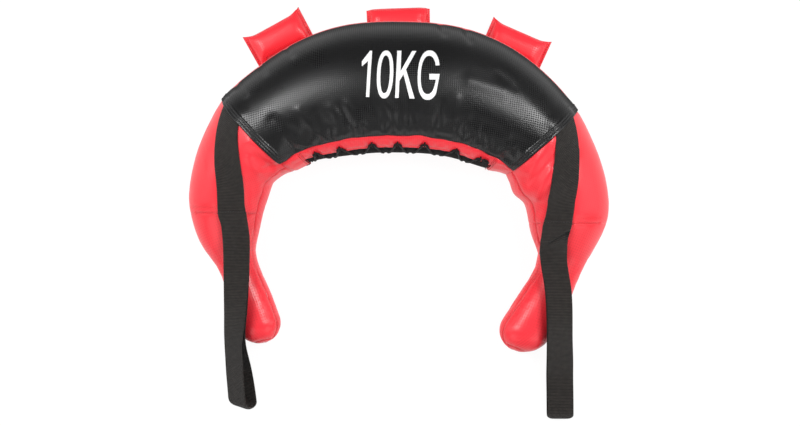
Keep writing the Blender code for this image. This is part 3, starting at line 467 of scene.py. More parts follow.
class Pattern:
    """The filled bag's surface as drawn, before the cloth settles."""

    def __init__(self):
        self.rows = np.array([row[1:] for row in SECTIONS])
        self.rows[:, 0:4] += (*PLAN_SHIFT, *PLAN_SHIFT)
        middles = (self.rows[:, 0:2] + self.rows[:, 2:4]) / 2
        self.steps = np.linalg.norm(np.diff(middles, axis=0), axis=1)
        self.knots = np.concatenate([[0.0], np.cumsum(self.steps)])
        self.bends = natural_bends(self.knots, self.rows)
        self.numbers = np.arange(1, LAST + 1)

    def row_at(self, station):
        place = np.interp(station, self.numbers, self.knots)
        return spline_value(place, self.knots, self.rows, self.bends)

    def middle_at(self, station):
        row = self.row_at(station)
        return (row[0:2] + row[2:4]) / 2

    def along(self, station):
        ahead = min(station + 0.02, LAST)
        return unit(self.middle_at(ahead) - self.middle_at(ahead - 0.04))

    def moved(self, station, distance):
        place = np.interp(station, self.numbers, self.knots) + distance
        return float(np.interp(place, self.knots, self.numbers))

    def ring(self, station, angles):
        inside = min(max(station, 1), LAST)
        outer_x, outer_y, inner_x, inner_y, height, bow = self.row_at(inside)
        across = np.array([outer_x - inner_x, outer_y - inner_y])
        half = np.linalg.norm(across) / 2
        along = self.along(inside)
        turn = (station - inside) * math.pi / 2
        sine, cosine = np.sin(np.radians(angles)), np.cos(np.radians(angles))
        widest = WIDEST_SHARE * height
        reach = np.where(sine > 0, height - widest, LOWER_FULLNESS * widest)
        z = widest + reach * math.cos(turn) * sine
        z = (z + np.sqrt(z * z + FLOOR_ROUNDING**2)) / 2
        plan = self.middle_at(inside) + along * DOME_SHARE * half * math.sin(turn)
        plan = plan + np.outer(half * math.cos(turn) * cosine, unit(across))
        plan = plan + np.outer(bow * np.maximum(0.0, sine), along)
        return np.column_stack([plan, z])

    def point(self, station, angle):
        return self.ring(station, np.array([angle]))[0]


PATTERN = Pattern()


def drawn_lines():
    """The stations and the angles of the surface's grid."""
    stations = [i / DOME_STEPS for i in range(DOME_STEPS)]
    for number, step in enumerate(PATTERN.steps, start=1):
        count = max(1, round(step / RING_STEP))
        stations += [number + i / count for i in range(count)]
    stations += [LAST + i / DOME_STEPS for i in range(DOME_STEPS + 1)]
    seams = [OUTER_SEAM, 90, FRONT_SEAM, ARM_SEAM, FLAP_EDGE, BACK_FLAP_EDGE, BACK_SEAM, 270, FULL_TURN]
    angles = []
    for start, end in zip(seams, seams[1:]):
        count = max(2, round((end - start) / COLUMN_STEP))
        angles += list(start + (end - start) * np.arange(count) / count)
    return np.array(stations), np.array(angles)


STATIONS, COLUMNS = drawn_lines()
EVERY_ANGLE = np.append(COLUMNS, FULL_TURN)


def row_number(station):
    """The row of a station, or of each of several, with a share where it lies between two."""
    return np.interp(station, STATIONS, np.arange(len(STATIONS)))


def column_number(angle):
    return np.interp(angle, EVERY_ANGLE, np.arange(len(EVERY_ANGLE)))


def weights_at(share):
    """Weights of four neighbouring points, for a smooth curve through them."""
    return np.stack([
        -0.5 * share + share**2 - 0.5 * share**3,
        1 - 2.5 * share**2 + 1.5 * share**3,
        0.5 * share + 2 * share**2 - 1.5 * share**3,
        -0.5 * share**2 + 0.5 * share**3,
    ])


def read_places(points, rows, columns):
    """The surface's points at pairs of a row and a column number."""
    base_row = np.minimum(np.floor(rows).astype(int), len(points) - 2)
    base_column = np.floor(columns).astype(int)
    row_weights, column_weights = weights_at(rows - base_row), weights_at(columns - base_column)
    total = np.zeros((len(rows), 3))
    for k in range(4):
        line = np.clip(base_row + k - 1, 0, len(points) - 1)
        for m in range(4):
            weight = row_weights[k] * column_weights[m]
            total += weight[:, None] * points[line, (base_column + m - 1) % points.shape[1]]
    return total


def grid_normals(points):
    """Outward normals of a grid whose columns close round."""
    along = np.gradient(points, axis=0)
    wrapped = np.concatenate([points[:, -2:-1], points, points[:, 1:2]], axis=1)
    around = np.gradient(wrapped, axis=1)[:, 1:-1]
    normals = np.cross(around, along)
    for tip, beside in ((0, 1), (-1, -2)):
        normals[tip] = np.mean(normals[beside], axis=0)
    return unit(normals)


def travelled(points, axis):
    """Distance along the grid from its first line."""
    steps = np.linalg.norm(np.diff(points, axis=axis), axis=2)
    total = np.cumsum(steps, axis=axis)
    return np.insert(total, 0, 0.0, axis=axis)


def wave(along, away, spacing, seed):
    """A smooth random value that changes along a seam and fades slowly away from it."""
    flat = zip((along / spacing).ravel(), (away / spacing / 3).ravel())
    values = [noise.noise(Vector((x, y, seed))) for x, y in flat]
    return np.array(values).reshape(along.shape)


def in_photo(points):
    """Where the camera sees each point, in pixels of the photograph."""
    scale = PIXEL_SIZE * (1 + (PIXEL_PLANE - points[..., 2]) / CAMERA_DISTANCE)
    across = (points[..., 0] - AIM_PLACE[0]) / scale + AIM_PIXEL[0]
    down = AIM_PIXEL[1] - (points[..., 1] - AIM_PLACE[1]) / scale
    return np.stack([across, down], axis=-1)


def from_photo(pixel, height):
    """The place in plan that the camera sees in a pixel of the photograph, at a height."""
    scale = PIXEL_SIZE * (1 + (PIXEL_PLANE - height) / CAMERA_DISTANCE)
    return np.array(((pixel[0] - AIM_PIXEL[0]) * scale + AIM_PLACE[0],
                     (AIM_PIXEL[1] - pixel[1]) * scale + AIM_PLACE[1]))


def folds(points, normals):
    """Height that the photographed folds add to the side of the bag that faces the camera."""
    seen = in_photo(points)
    height = np.zeros(points.shape[:2])
    for rise, reach, *line in FOLDS:
        nearest = np.full(height.shape, np.inf)
        for start, end in zip(np.array(line, dtype=float), np.array(line[1:], dtype=float)):
            run = end - start
            share = np.clip((seen - start) @ run / (run @ run), 0, 1)
            nearest = np.minimum(nearest, np.linalg.norm(seen - start - share[..., None] * run, axis=-1))
        height += rise / 1000 * np.exp(-(nearest * PIXEL_SIZE * 1000 / reach) ** 2)
    return height * smooth_step(normals[..., 2] / 0.3)


# The settled cloth


class Surface:
    """The fine surface that the panels are cut from, with its seams drawn in."""

    # Station or angle, the part of it that is sewn, depth and puckers as shares of a full seam's
    RING_SEAMS = (
        (GRIP_SEAM, OUTER_SEAM, ARM_SEAM, 0.9, 0.5),
        (STATION["left_tack"], OUTER_SEAM, FULL_TURN, 0.15, 0.25),
        (STATION["left_hem"], FRONT_SEAM, FULL_TURN, 0.8, 0.5),
        (STATION["left_lace_end"], FRONT_SEAM, BACK_SEAM, 0.6, 0.4),
        (STATION["right_lace_end"], FRONT_SEAM, BACK_SEAM, 0.6, 0.4),
        (STATION["right_hem"], FRONT_SEAM, FULL_TURN, 0.8, 0.5),
        (STATION["right_tack"], OUTER_SEAM, FULL_TURN, 0.15, 0.25),
        (TIPS[1] - GRIP_SEAM, OUTER_SEAM, ARM_SEAM, 0.9, 0.5),
    )
    LINE_SEAMS = (
        (OUTER_SEAM, GRIP_SEAM, TIPS[1] - GRIP_SEAM, 0.7, 0.25),
        (ARM_SEAM, GRIP_SEAM, STATION["left_hem"], 0.9, 1.3),
        (ARM_SEAM, STATION["right_hem"], TIPS[1] - GRIP_SEAM, 0.9, 1.6),
        (FRONT_SEAM, STATION["left_hem"], STATION["right_hem"], 1.0, 0.4),
        (BACK_SEAM, STATION["left_hem"], STATION["right_hem"], 1.0, 1.0),
    )
    # Creases that the tack seams pull in the vinyl beside the webbing
    CREASES = (
        (STATION["left_tack"] + 0.29, 34, 78, 0.55, 0.5),
        (STATION["left_tack"] + 0.04, 42, 74, 0.8, 0.3),
        (STATION["left_tack"] - 0.03, 128, 146, 0.8, 0.3),
        (STATION["right_tack"] - 0.20, 46, 82, 0.6, 0.5),
        (STATION["right_tack"] - 0.02, 44, 80, 0.8, 0.3),
        (STATION["right_tack"], 142, 156, 0.8, 0.3),
    )

    def __init__(self, coarse):
        self.rows = self.fine_rows()
        self.columns = self.fine_columns()
        self.stations = np.interp(self.rows, np.arange(len(STATIONS)), STATIONS)
        self.angles = np.interp(self.columns, np.arange(len(EVERY_ANGLE)), EVERY_ANGLE)
        stations = self.stations
        for hem, slide in HEM_SLIDES.items():
            stations = stations + slide * near(stations, STATION[hem], 1.5)
        rows, columns = np.broadcast_arrays(row_number(stations)[:, None], self.slid_columns())
        self.base = read_places(coarse, rows.ravel(), columns.ravel()).reshape(*rows.shape, 3)
        self.down = travelled(self.base, 0)
        self.round = travelled(self.base, 1)
        self.normals = grid_normals(self.base)
        self.crease = np.zeros(self.base.shape[:2])
        sewn = self.base + self.normals * self.seam_offset()[..., None]
        self.points = clear_of_lining(sewn, self.normals)
        self.normals = grid_normals(self.points)
        self.cut = self.cut_places()

    def fine_rows(self):
        marks = {row_number(seam[0]) for seam in self.RING_SEAMS}
        lines = set(np.arange(0, len(STATIONS) - 0.75, 0.5)) | marks
        for mark in marks:
            lines |= {mark + side * step for step in BESIDE_SEAM for side in (-1, 1)}
        for hem, way in (("left_hem", 1), ("right_hem", -1)):
            lines |= {row_number(STATION[hem]) + way * step for step in np.arange(0.15, 2.4, 0.11)}
        return self.spread(lines, marks)

    def fine_columns(self):
        marks = {column_number(a) for a in (OUTER_SEAM, FRONT_SEAM, ARM_SEAM, FLAP_EDGE, BACK_FLAP_EDGE,
                                            BACK_SEAM, FULL_TURN, 90, 270)}
        lines = set(np.arange(0, len(COLUMNS) + 0.25, 0.5)) | marks
        for mark in marks:
            beside = {mark + side * step for step in BESIDE_SEAM for side in (-1, 1)}
            lines |= {line for line in beside if 0 <= line <= len(COLUMNS)}
        return self.spread(lines, marks)

    @staticmethod
    def spread(lines, marks):
        """The lines in order, without those that all but touch a mark or each other."""
        kept = []
        for line in sorted(lines):
            near_mark = line not in marks and any(abs(line - mark) < 0.1 for mark in marks)
            if near_mark or (kept and line not in marks and line - kept[-1] < 0.05):
                continue
            kept.append(line)
        return np.array(kept)

    def slid_columns(self):
        """Each point's column number, with the seam over the opening uneven and the flap drawn up."""
        rows, angles = self.stations[:, None], self.angles[None]
        laced = near(rows, 13, 4.2) ** 0.25
        uneven = np.array([noise.noise(Vector((s * SEAM_WAVES, 0.5, 3.0))) for s in self.stations])[:, None]
        slide = SEAM_UNEVENNESS * uneven * laced * near(angles, FRONT_SEAM, 11)
        slide = slide + CORNER_SLIDE * near(rows, STATION["right_hem"], 1.3) * near(angles, FRONT_SEAM, 20)
        for loop in LACE_FRONT_STATIONS:
            slide = slide - FLAP_PULL * near(rows, loop, 0.17) * near(angles, FLAP_EDGE, 12)
        return np.where(slide == 0, self.columns[None], column_number(angles + slide))

    def row(self, station):
        return int(np.argmin(np.abs(self.rows - row_number(station))))

    def column(self, angle):
        return int(np.argmin(np.abs(self.columns - column_number(angle))))

    def ring_distance(self, station, start, end):
        i, first, last = self.row(station), self.column(start), self.column(end)
        straight = np.abs(self.down - self.down[i])
        before = self.round[:, first:first + 1] - self.round
        after = self.round - self.round[:, last:last + 1]
        if end - start >= 360:
            return straight
        beside = np.maximum(0.0, np.maximum(before, after))
        return np.hypot(straight, beside)

    def line_distance(self, angle, start, end):
        j, first, last = self.column(angle), self.row(start), self.row(end)
        straight = np.abs(self.round - self.round[:, j:j + 1])
        straight = np.minimum(straight, self.round[:, -1:] - straight)
        before = self.down[first:first + 1] - self.down
        after = self.down - self.down[last:last + 1]
        beside = np.maximum(0.0, np.maximum(before, after))
        return np.hypot(straight, beside)

    def seam_offset(self):
        offset = np.zeros(self.base.shape[:2])
        seams = [(self.ring_distance(*seam[:3]), self.round, *seam[3:]) for seam in self.RING_SEAMS]
        seams += [(self.line_distance(*seam[:3]), self.down, *seam[3:]) for seam in self.LINE_SEAMS]
        seams += [(self.ring_distance(*seam[:3]), self.round, *seam[3:]) for seam in self.CREASES]
        for number, (distance, along, depth, pucker) in enumerate(seams):
            fold = np.exp(-distance / SEAM_REACH)
            offset = np.minimum(offset, -SEAM_DEPTH * depth * fold)
            # The crease mask is painted shade: it darkens the vinyl's colour along each seam and crease
            self.crease = np.maximum(self.crease, depth * fold)
            beside = np.exp(-distance / PUCKER_REACH) * (1 - fold)
            offset += PUCKER * pucker * beside * wave(along, distance, PUCKER_SPACING, number)
        return offset + folds(self.base, self.normals)

    def cut_places(self):
        """Where each point lay on the flat vinyl, for the front and for the back, in metres."""
        inside = np.clip(self.stations, 1, LAST)
        middles = np.array([PATTERN.middle_at(s) for s in inside])
        rows = np.array([PATTERN.row_at(s) for s in inside])
        inward = unit(rows[:, 2:4] - rows[:, 0:2])
        places = []
        for angle, way in ((90, 1), (270, -1)):
            j = self.column(angle)
            away = (self.round - self.round[:, j:j + 1]) * way
            flat = middles[:, None] + inward[:, None] * away[..., None]
            bent = np.stack([np.repeat(self.down[:, j:j + 1], away.shape[1], 1), -away], axis=2)
            places.append(0.75 * flat + 0.25 * bent)
        return places


def webbing_share():
    """1 where the sewn webbing holds the vinyl down, 0 away from it."""
    held = np.zeros((len(STATIONS), len(COLUMNS)))
    for angles, _, _ in STRAPS.values():
        stations = [STATION[key] for key in angles]
        known = sorted((STATION[key], angle) for key, angle in angles.items())
        middle = np.interp(STATIONS, *zip(*known))[:, None]
        inside = (STATIONS >= min(stations) - STRAP_MARGIN) & (STATIONS <= max(stations) + STRAP_MARGIN)
        beside = near(COLUMNS[None], middle, STRAP_REACH)
        held = np.maximum(held, beside * inside[:, None])
    return held


def held_share():
    """How firmly each point of the bag keeps its drawn place: 1 at seams, little on open cloth."""
    rows, columns = STATIONS[:, None], COLUMNS[None]
    held = np.full((len(STATIONS), len(COLUMNS)), OPEN_HOLD)
    for seam, first, last, _, _ in Surface.RING_SEAMS:
        on_seam = (np.abs(rows - seam) < 0.02) & (columns >= first) & (columns <= last)
        held = np.where(on_seam, SEAM_HOLD, held)
    for seam, first, last, _, _ in Surface.LINE_SEAMS:
        on_seam = (np.abs(columns - seam) < 0.1) & (rows >= first) & (rows <= last)
        held = np.where(on_seam, SEAM_HOLD, held)
    for hem in ("left_hem", "right_hem"):
        held = np.where(np.abs(rows - STATION[hem]) < 0.02, SEAM_HOLD, held)
    held = np.maximum(held, WEBBING_HOLD * webbing_share())
    laced = (rows > STATION["left_lace_end"]) & (rows < STATION["right_lace_end"])
    held = np.where(laced & (columns > FRONT_SEAM) & (columns < BACK_SEAM), LACED_HOLD, held)
    held = np.maximum(held, FLOOR_HOLD * near(columns, 270, 62))
    gripped = near(rows, 13, 4.0) ** 0.5 * near(columns, 318, 60)
    return np.maximum(held, gripped)


def slack_share():
    """Where the vinyl is longer than the filling that it covers, and so wrinkles."""
    rows, columns = STATIONS[:, None], COLUMNS[None]
    laced = smooth_step((rows - STATION["left_hem"] + 0.3) / 0.6)
    laced = laced * smooth_step((STATION["right_hem"] + 0.3 - rows) / 0.6)
    slack = (0.5 + 0.5 * laced) * near(columns, 150, 60)
    for name in ("left_tack", "right_tack"):
        slack = np.maximum(slack, 0.8 * near(rows, STATION[name], 0.75) * near(columns, 90, 110))
    for name in ("left_elbow", "right_elbow"):
        slack = np.maximum(slack, near(rows, STATION[name], 1.3) * near(columns, 125, 60))
    for name in ("left_neck", "right_neck"):
        slack = np.maximum(slack, 0.6 * near(rows, STATION[name], 1.2))
    return slack


def blurred(values, passes):
    """A grid of values averaged with their neighbours, closed round the columns."""
    for _ in range(passes):
        values = (np.roll(values, 1, 1) + 2 * values + np.roll(values, -1, 1)) / 4
        ends = np.concatenate([values[:1], values, values[-1:]])
        values = (ends[:-2] + 2 * values + ends[2:]) / 4
    return values


def drape():
    """The bag's skin settled over its filling: blown out, held at the seams, slack beside them."""
    drawn = np.array([PATTERN.ring(station, COLUMNS) for station in STATIONS])
    rows, columns = drawn.shape[:2]
    tips = (0, (rows - 1) * columns)
    faces = []
    for i in range(rows - 1):
        for j in range(columns):
            corners = [(i, j), (i, (j + 1) % columns), (i + 1, (j + 1) % columns), (i + 1, j)]
            face = [tips[bool(i)] if i in (0, rows - 1) else i * columns + j for i, j in corners]
            faces.append(tuple(dict.fromkeys(face)))
    used = sorted({v for face in faces for v in face})
    number = {v: n for n, v in enumerate(used)}
    skin = new_object("skin", drawn.reshape(-1, 3)[used], [[number[v] for v in f] for f in faces], RED)
    for name, share in (("held", held_share()), ("taut", 1 - slack_share())):
        group = skin.vertex_groups.new(name=name)
        for n, weight in enumerate(share.ravel()[used]):
            group.add([n], float(np.clip(weight, 0, 1)), "REPLACE")
    cloth = skin.modifiers.new("settling", "CLOTH")
    for name, value in CLOTH_SETTINGS.items():
        setattr(cloth.settings, name, value)
    cloth.settings.effector_weights.gravity = 0.0
    cloth.collision_settings.use_collision = False
    cloth.point_cache.frame_end = SETTLING_FRAMES
    for frame_number in range(1, SETTLING_FRAMES + 1):
        bpy.context.scene.frame_set(frame_number)
    depsgraph = bpy.context.evaluated_depsgraph_get()
    result = np.zeros(len(used) * 3)
    skin.evaluated_get(depsgraph).data.vertices.foreach_get("co", result)
    bpy.context.scene.frame_set(1)
    bpy.data.objects.remove(skin, do_unlink=True)
    whole = drawn.reshape(-1, 3).copy()
    whole[used] = result.reshape(-1, 3)
    whole[:columns] = whole[tips[0]]
    whole[tips[1]:] = whole[tips[1]]
    return within_limits(drawn, whole.reshape(drawn.shape))


def within_limits(drawn, result):
    """The settled skin in large folds, within reach of the drawn form and off the floor."""
    normals = grid_normals(np.concatenate([drawn, drawn[:, :1]], axis=1))[:, :-1]
    shift = result - drawn
    out = np.sum(shift * normals, axis=2)
    rows, columns = STATIONS[:, None], COLUMNS[None]
    gathered = near(columns, GATHERED_ANGLE, GATHERED_REACH)
    gathered = gathered * (rows > STATION["left_hem"]) * (rows < STATION["right_hem"])
    fine = FINE_SHARE + GATHERED_SHARE * gathered
    large = FOLD_GAIN * blurred(out, FOLD_PASSES)
    out = fine * out + (1 - fine) * large
    limit = np.where(out > 0, MOST_OUT, MOST_IN)
    out = limit * np.tanh(out / limit)
    sideways = shift - normals * np.sum(shift * normals, axis=2, keepdims=True)
    along = blurred(sideways, SLIP_PASSES)
    slip = SLIP * np.ones_like(rows)
    for hem in ("left_hem", "right_hem"):
        slip = slip * (1 - near(rows, STATION[hem], HEM_GRIP))
    points = drawn + slip[..., None] * along + normals * out[..., None]
    points[..., 2] = np.maximum(points[..., 2], FLOOR_GAP)
    return points


def lining_tree():
    """The wadding and the foam right under the skins."""
    places, faces = [], []
    for node in LINING:
        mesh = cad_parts[node].data
        faces += [tuple(len(places) + v for v in polygon.vertices) for polygon in mesh.polygons]
        places += [tuple(v.co) for v in mesh.vertices]
    return BVHTree.FromPolygons(places, faces)


def clear_of_lining(points, normals):
    """The points, moved out wherever the lining would come through the vinyl."""
    tree = lining_tree()
    short = np.zeros(points.shape[:2])
    for place in np.ndindex(short.shape):
        nearest, outward, _, distance = tree.find_nearest(Vector(points[place]))
        within = (Vector(points[place]) - nearest).dot(outward) < -INSIDE_SHARE * distance
        short[place] = max(0.0, OVER_LINING - (-distance if within else distance))
    return points + normals * short[..., None]


SETTLED = drape()
SURFACE = Surface(SETTLED)
PROBE = 0.05  # stations each way over which a direction is taken
SEAT_ANGLE, SEAT_STATION = 2, 0.06  # the same for a place's normal: degrees round and stations along


def settled(stations, angles):
    """Places on the settled bag, above its seams, from arrays of stations and angles."""
    stations, angles = np.broadcast_arrays(np.asarray(stations, float), np.asarray(angles, float))
    turned = (angles.ravel() - OUTER_SEAM) % 360 + OUTER_SEAM
    places = read_places(SETTLED, row_number(stations.ravel()), column_number(turned))
    return places.reshape(*stations.shape, 3)


def seat(stations, angles, lift):
    """Places above the settled bag, with the outward and along directions there."""
    stations, angles = np.broadcast_arrays(np.asarray(stations, float), np.asarray(angles, float))
    around = settled(stations, angles + SEAT_ANGLE) - settled(stations, angles - SEAT_ANGLE)
    ahead = settled(stations + SEAT_STATION, angles) - settled(stations - SEAT_STATION, angles)
    outward = unit(np.cross(around, ahead))
    return settled(stations, angles) + outward * lift, outward, unit(ahead)


def on_surface(stations, angles):
    """Places on the finished surface with its seams, and the outward directions there."""
    stations, angles = np.broadcast_arrays(np.asarray(stations, float), np.asarray(angles, float))
    turned = (angles - OUTER_SEAM) % 360 + OUTER_SEAM
    rows = np.interp(row_number(stations), SURFACE.rows, np.arange(len(SURFACE.rows)))
    columns = np.interp(column_number(turned), SURFACE.columns, np.arange(len(SURFACE.columns)))
    i = np.minimum(rows.astype(int), len(SURFACE.rows) - 2)
    j = np.minimum(columns.astype(int), len(SURFACE.columns) - 2)
    down, across = (rows - i)[..., None], (columns - j)[..., None]

    def read(field):
        before = field[i, j] * (1 - across) + field[i, j + 1] * across
        after = field[i + 1, j] * (1 - across) + field[i + 1, j + 1] * across
        return before * (1 - down) + after * down

    return read(SURFACE.points), unit(read(SURFACE.normals))


def surface_tree():
    faces = quads(*SURFACE.points.shape[:2])
    return BVHTree.FromPolygons([tuple(p) for p in SURFACE.points.reshape(-1, 3)], faces)


TREE = surface_tree()


def height_at(x, y):
    """The height of the bag's upper side over a place in plan, or the floor."""
    hit = TREE.ray_cast(Vector((x, y, 1.0)), Vector((0, 0, -1)))[0]
    return hit.z if hit else 0.0


def patch_mask(patches):
    mask = np.zeros((len(SURFACE.rows) - 1, len(SURFACE.columns) - 1), dtype=bool)
    for first, last, start, end in patches:
        mask[SURFACE.row(first):SURFACE.row(last), SURFACE.column(start):SURFACE.column(end)] = True
    return mask


def add_panel(name, patches, material, body="bag", lift=None, drop=0.0, side=0):
    """A sheet of vinyl cut from the surface, with its own thickness."""
    mask = patch_mask(patches)
    points = SURFACE.points
    if lift is not None:
        points = points + SURFACE.normals * lift[..., None]
    under = points - SURFACE.normals * VINYL
    if drop:
        points = points - SURFACE.normals * drop
        under = under - SURFACE.normals * drop
    last_column = points.shape[1] - 1
    last_row = points.shape[0] - 1
    full_turn = [mask[i].all() for i in range(len(mask))]
    numbers, verts, cuts, creases, worn = {}, [], [], [], []
    rubbed = smooth_step((RUBBED_SLOPE - SURFACE.normals[..., 2]) / RUBBED_FADE)

    def vertex(i, j, layer):
        closed = (i < last_row and full_turn[min(i, last_row - 1)]) or (i > 0 and full_turn[i - 1])
        if i in (0, last_row):
            j = 0
        elif closed and j == last_column:
            j = 0
        key = (i, j, layer)
        if key not in numbers:
            numbers[key] = len(verts)
            verts.append((points, under)[layer][i, j])
            cuts.append(SURFACE.cut[side][i, j])
            creases.append(SURFACE.crease[i, j])
            worn.append(rubbed[i, j])
        return numbers[key]

    faces = []

    def add(*corners):
        face = tuple(dict.fromkeys(corners))
        if len(face) > 2:
            faces.append(face)

    for i, j in zip(*np.nonzero(mask)):
        ends = ((i, j), (i, j + 1), (i + 1, j + 1), (i + 1, j))
        a, b, c, d = (vertex(*end, 0) for end in ends)
        e, f, g, h = (vertex(*end, 1) for end in ends)
        add(a, b, c, d)
        add(h, g, f, e)
        joined = full_turn[i]
        left = (i, (j - 1) % last_column) if joined else (i, j - 1)
        right = (i, (j + 1) % last_column) if joined else (i, j + 1)
        sides = (((i - 1, j), a, b, e, f), (right, b, c, f, g),
                 ((i + 1, j), c, d, g, h), (left, d, a, h, e))
        for (row, column), start, end, under_start, under_end in sides:
            outside = row < 0 or row >= last_row or column < 0 or column >= last_column
            if (outside or not mask[row, column]) and start != end:
                add(end, start, under_start, under_end)
    obj = new_object(name, verts, faces, material, cuts, creases, worn)
    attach(obj, body)
    return obj


# Stage


LAMPS = (
    # Name, place, side of the square in metres, power in watts
    ("upper_left", (-0.92, 0.42, 1.50), 0.62, 16.0),
    ("upper_right", (0.94, 0.40, 1.50), 0.66, 18.5),
    ("left", (-1.30, 0.10, 0.62), 0.9, 3.5),
    ("right", (1.30, 0.05, 0.62), 0.9, 3.5),
    ("foot", (0.0, -1.35, 0.95), 1.2, 1.5),
    ("foot_left", (-0.85, -1.00, 0.70), 0.80, 3.0),
    ("foot_right", (0.85, -1.00, 0.70), 0.80, 3.0),
)
SKY_LEVEL = 0.11
FLOOR_SIZE, FLOOR_LEVEL = 9.0, -0.0004
WHITE_SHARE, WHITE_LEVEL = 0.90, 1.05  # how much of the floor is seen plain white; the rest holds the shadow


def add_stage():
    """The camera over the bag as in the photograph, soft lamps and a pale floor."""
    scene = bpy.context.scene
    scene.view_settings.view_transform = "Standard"
    camera = bpy.data.objects.new("camera", bpy.data.cameras.new("camera"))
    scene.collection.objects.link(camera)
    camera.location = (*AIM_PLACE, PIXEL_PLANE + CAMERA_DISTANCE)
    camera.data.sensor_width = SENSOR
    camera.data.lens = SENSOR * CAMERA_DISTANCE / (PHOTO_WIDTH * PIXEL_SIZE)
    scene.camera = camera
    for name, place, size, power in LAMPS:
        lamp = bpy.data.objects.new(name, bpy.data.lights.new(name, "AREA"))
        lamp.data.size = size
        lamp.data.energy = power
        lamp.location = place
        lamp.rotation_mode = "QUATERNION"
        lamp.rotation_quaternion = (-Vector(place)).to_track_quat("-Z", "Y")
        scene.collection.objects.link(lamp)
    world = bpy.data.worlds.new("studio")
    world.use_nodes = True
    scene.world = world
    tree = world.node_tree
    fill = tree.nodes["Background"]
    fill_sockets(tree, fill, {"Color": (1, 1, 1, 1), "Strength": SKY_LEVEL})
    path = add_node(tree, "ShaderNodeLightPath")
    seen = add_node(tree, "ShaderNodeBackground", Color=(1, 1, 1, 1), Strength=1.0)
    choose = add_node(tree, "ShaderNodeMixShader", _0=path.outputs["Is Camera Ray"],
                      _1=fill.outputs[0], _2=seen.outputs[0])
    tree.links.new(choose.outputs[0], tree.nodes["World Output"].inputs[0])
    bpy.ops.mesh.primitive_plane_add(size=FLOOR_SIZE, location=(0, 0, FLOOR_LEVEL))
    floor = bpy.context.object
    floor.name = "floor"
    material, tree, shader = start_material("pale_floor")
    fill_sockets(tree, shader, {"Base_Color": colour("#F4F4F5"), "Roughness": 0.9})
    path = add_node(tree, "ShaderNodeLightPath")
    direct = add_node(tree, "ShaderNodeMath", operation="MAXIMUM", _0=path.outputs["Is Camera Ray"],
                      _1=path.outputs["Is Glossy Ray"])
    direct = add_node(tree, "ShaderNodeMath", operation="MAXIMUM", _0=direct.outputs[0],
                      _1=path.outputs["Is Transmission Ray"])
    share = add_node(tree, "ShaderNodeMath", operation="MULTIPLY", _0=direct.outputs[0], _1=WHITE_SHARE)
    white = add_node(tree, "ShaderNodeEmission", Color=(1, 1, 1, 1), Strength=WHITE_LEVEL)
    choose = add_node(tree, "ShaderNodeMixShader", _0=share.outputs[0], _1=shader.outputs[0],
                      _2=white.outputs[0])
    tree.links.new(choose.outputs[0], tree.nodes["Material Output"].inputs[0])
    floor.data.materials.append(material)


add_stage()


# Panels


SIDES = ("left", "right")
FRONT, BACK = 0, 1
WEBBING_FLANK = (15, 9)  # degrees from the webbing's middle to where the hem sinks, and over which
HEM_SINK, HEM_STEP = 0.4, 0.002  # beyond the folded part: share of the lift, and length of the step
STITCH_SINK, STITCH_GROOVE = 0.30, 0.0008
END_FADE = 0.006  # of the lift beside the outer and the front seam


def hem_lift():
    """How far the black panel stands over the red ones at its two folded hems."""
    lift = np.zeros(SURFACE.base.shape[:2])
    angles = SURFACE.angles[None]
    for side in SIDES:
        distance = SURFACE.ring_distance(STATION[side + "_hem"], OUTER_SEAM, FRONT_SEAM)
        middle = STRAPS[side][0][side + "_hem"]
        flank = (np.abs(angles - middle) - WEBBING_FLANK[0]) / WEBBING_FLANK[1]
        over = OVER_WEBBING * (1 - smooth_step(flank))
        edge = np.sqrt(1 - np.clip(1 - distance / HEM_ROUNDING, 0, 1) ** 2)
        inner = 1 - HEM_SINK * smooth_step((distance - HEM_WIDTH) / HEM_STEP)
        for line in HEM_STITCH_LINES:
            inner = inner - STITCH_SINK * np.exp(-((distance - line) / STITCH_GROOVE) ** 2)
        fade = 1 - smooth_step((distance - HEM_WIDTH) / HEM_FADE)
        lift = np.maximum(lift, (HEM_LIFT * inner + over) * edge * fade)
    for seam in (OUTER_SEAM, FRONT_SEAM):
        beside = SURFACE.line_distance(seam, 0, TIPS[1])
        lift *= 0.5 + 0.5 * smooth_step(beside / END_FADE)
    return lift


def panel_plans():
    """Each panel's material, the side that its grain follows and the patches that it covers."""
    hems, lace_ends, tacks = ([STATION[f"{side}_{mark}"] for side in SIDES]
                              for mark in ("hem", "lace_end", "tack"))
    plans = {
        "front_center_panel": (BLACK, FRONT, [(*hems, OUTER_SEAM, FRONT_SEAM)]),
        "lacing_flap_front": (RED, FRONT, [(*lace_ends, FRONT_SEAM, FLAP_EDGE)]),
        "lacing_flap_back": (RED, BACK, [(*lace_ends, BACK_FLAP_EDGE, BACK_SEAM)]),
    }
    for side, hem, lace_end in zip(SIDES, hems, lace_ends):
        plans["inner_gusset_" + side] = (RED, FRONT, [(*sorted((hem, lace_end)), FRONT_SEAM, BACK_SEAM)])
    plans["back_center_panel"] = (RED, BACK, [(*hems, BACK_SEAM, FULL_TURN)])
    for side, hem, tack in zip(SIDES, hems, tacks):
        arm = sorted((hem, tack))
        plans[side + "_arm_front_panel"] = (RED, FRONT, [(*arm, OUTER_SEAM, ARM_SEAM)])
        plans[side + "_arm_back_panel"] = (RED, BACK, [(*arm, ARM_SEAM, FULL_TURN)])
    for side, tack, tip, seam in zip(SIDES, tacks, TIPS, (GRIP_SEAM, TIPS[1] - GRIP_SEAM)):
        grip, dome = sorted((tack, seam)), sorted((seam, tip))
        plans[side + "_grip_front_panel"] = (RED, FRONT, [(*grip, OUTER_SEAM, ARM_SEAM)])
        plans[side + "_grip_back_panel"] = (RED, BACK, [(*dome, OUTER_SEAM, FULL_TURN),
                                                        (*grip, ARM_SEAM, FULL_TURN)])
    return plans


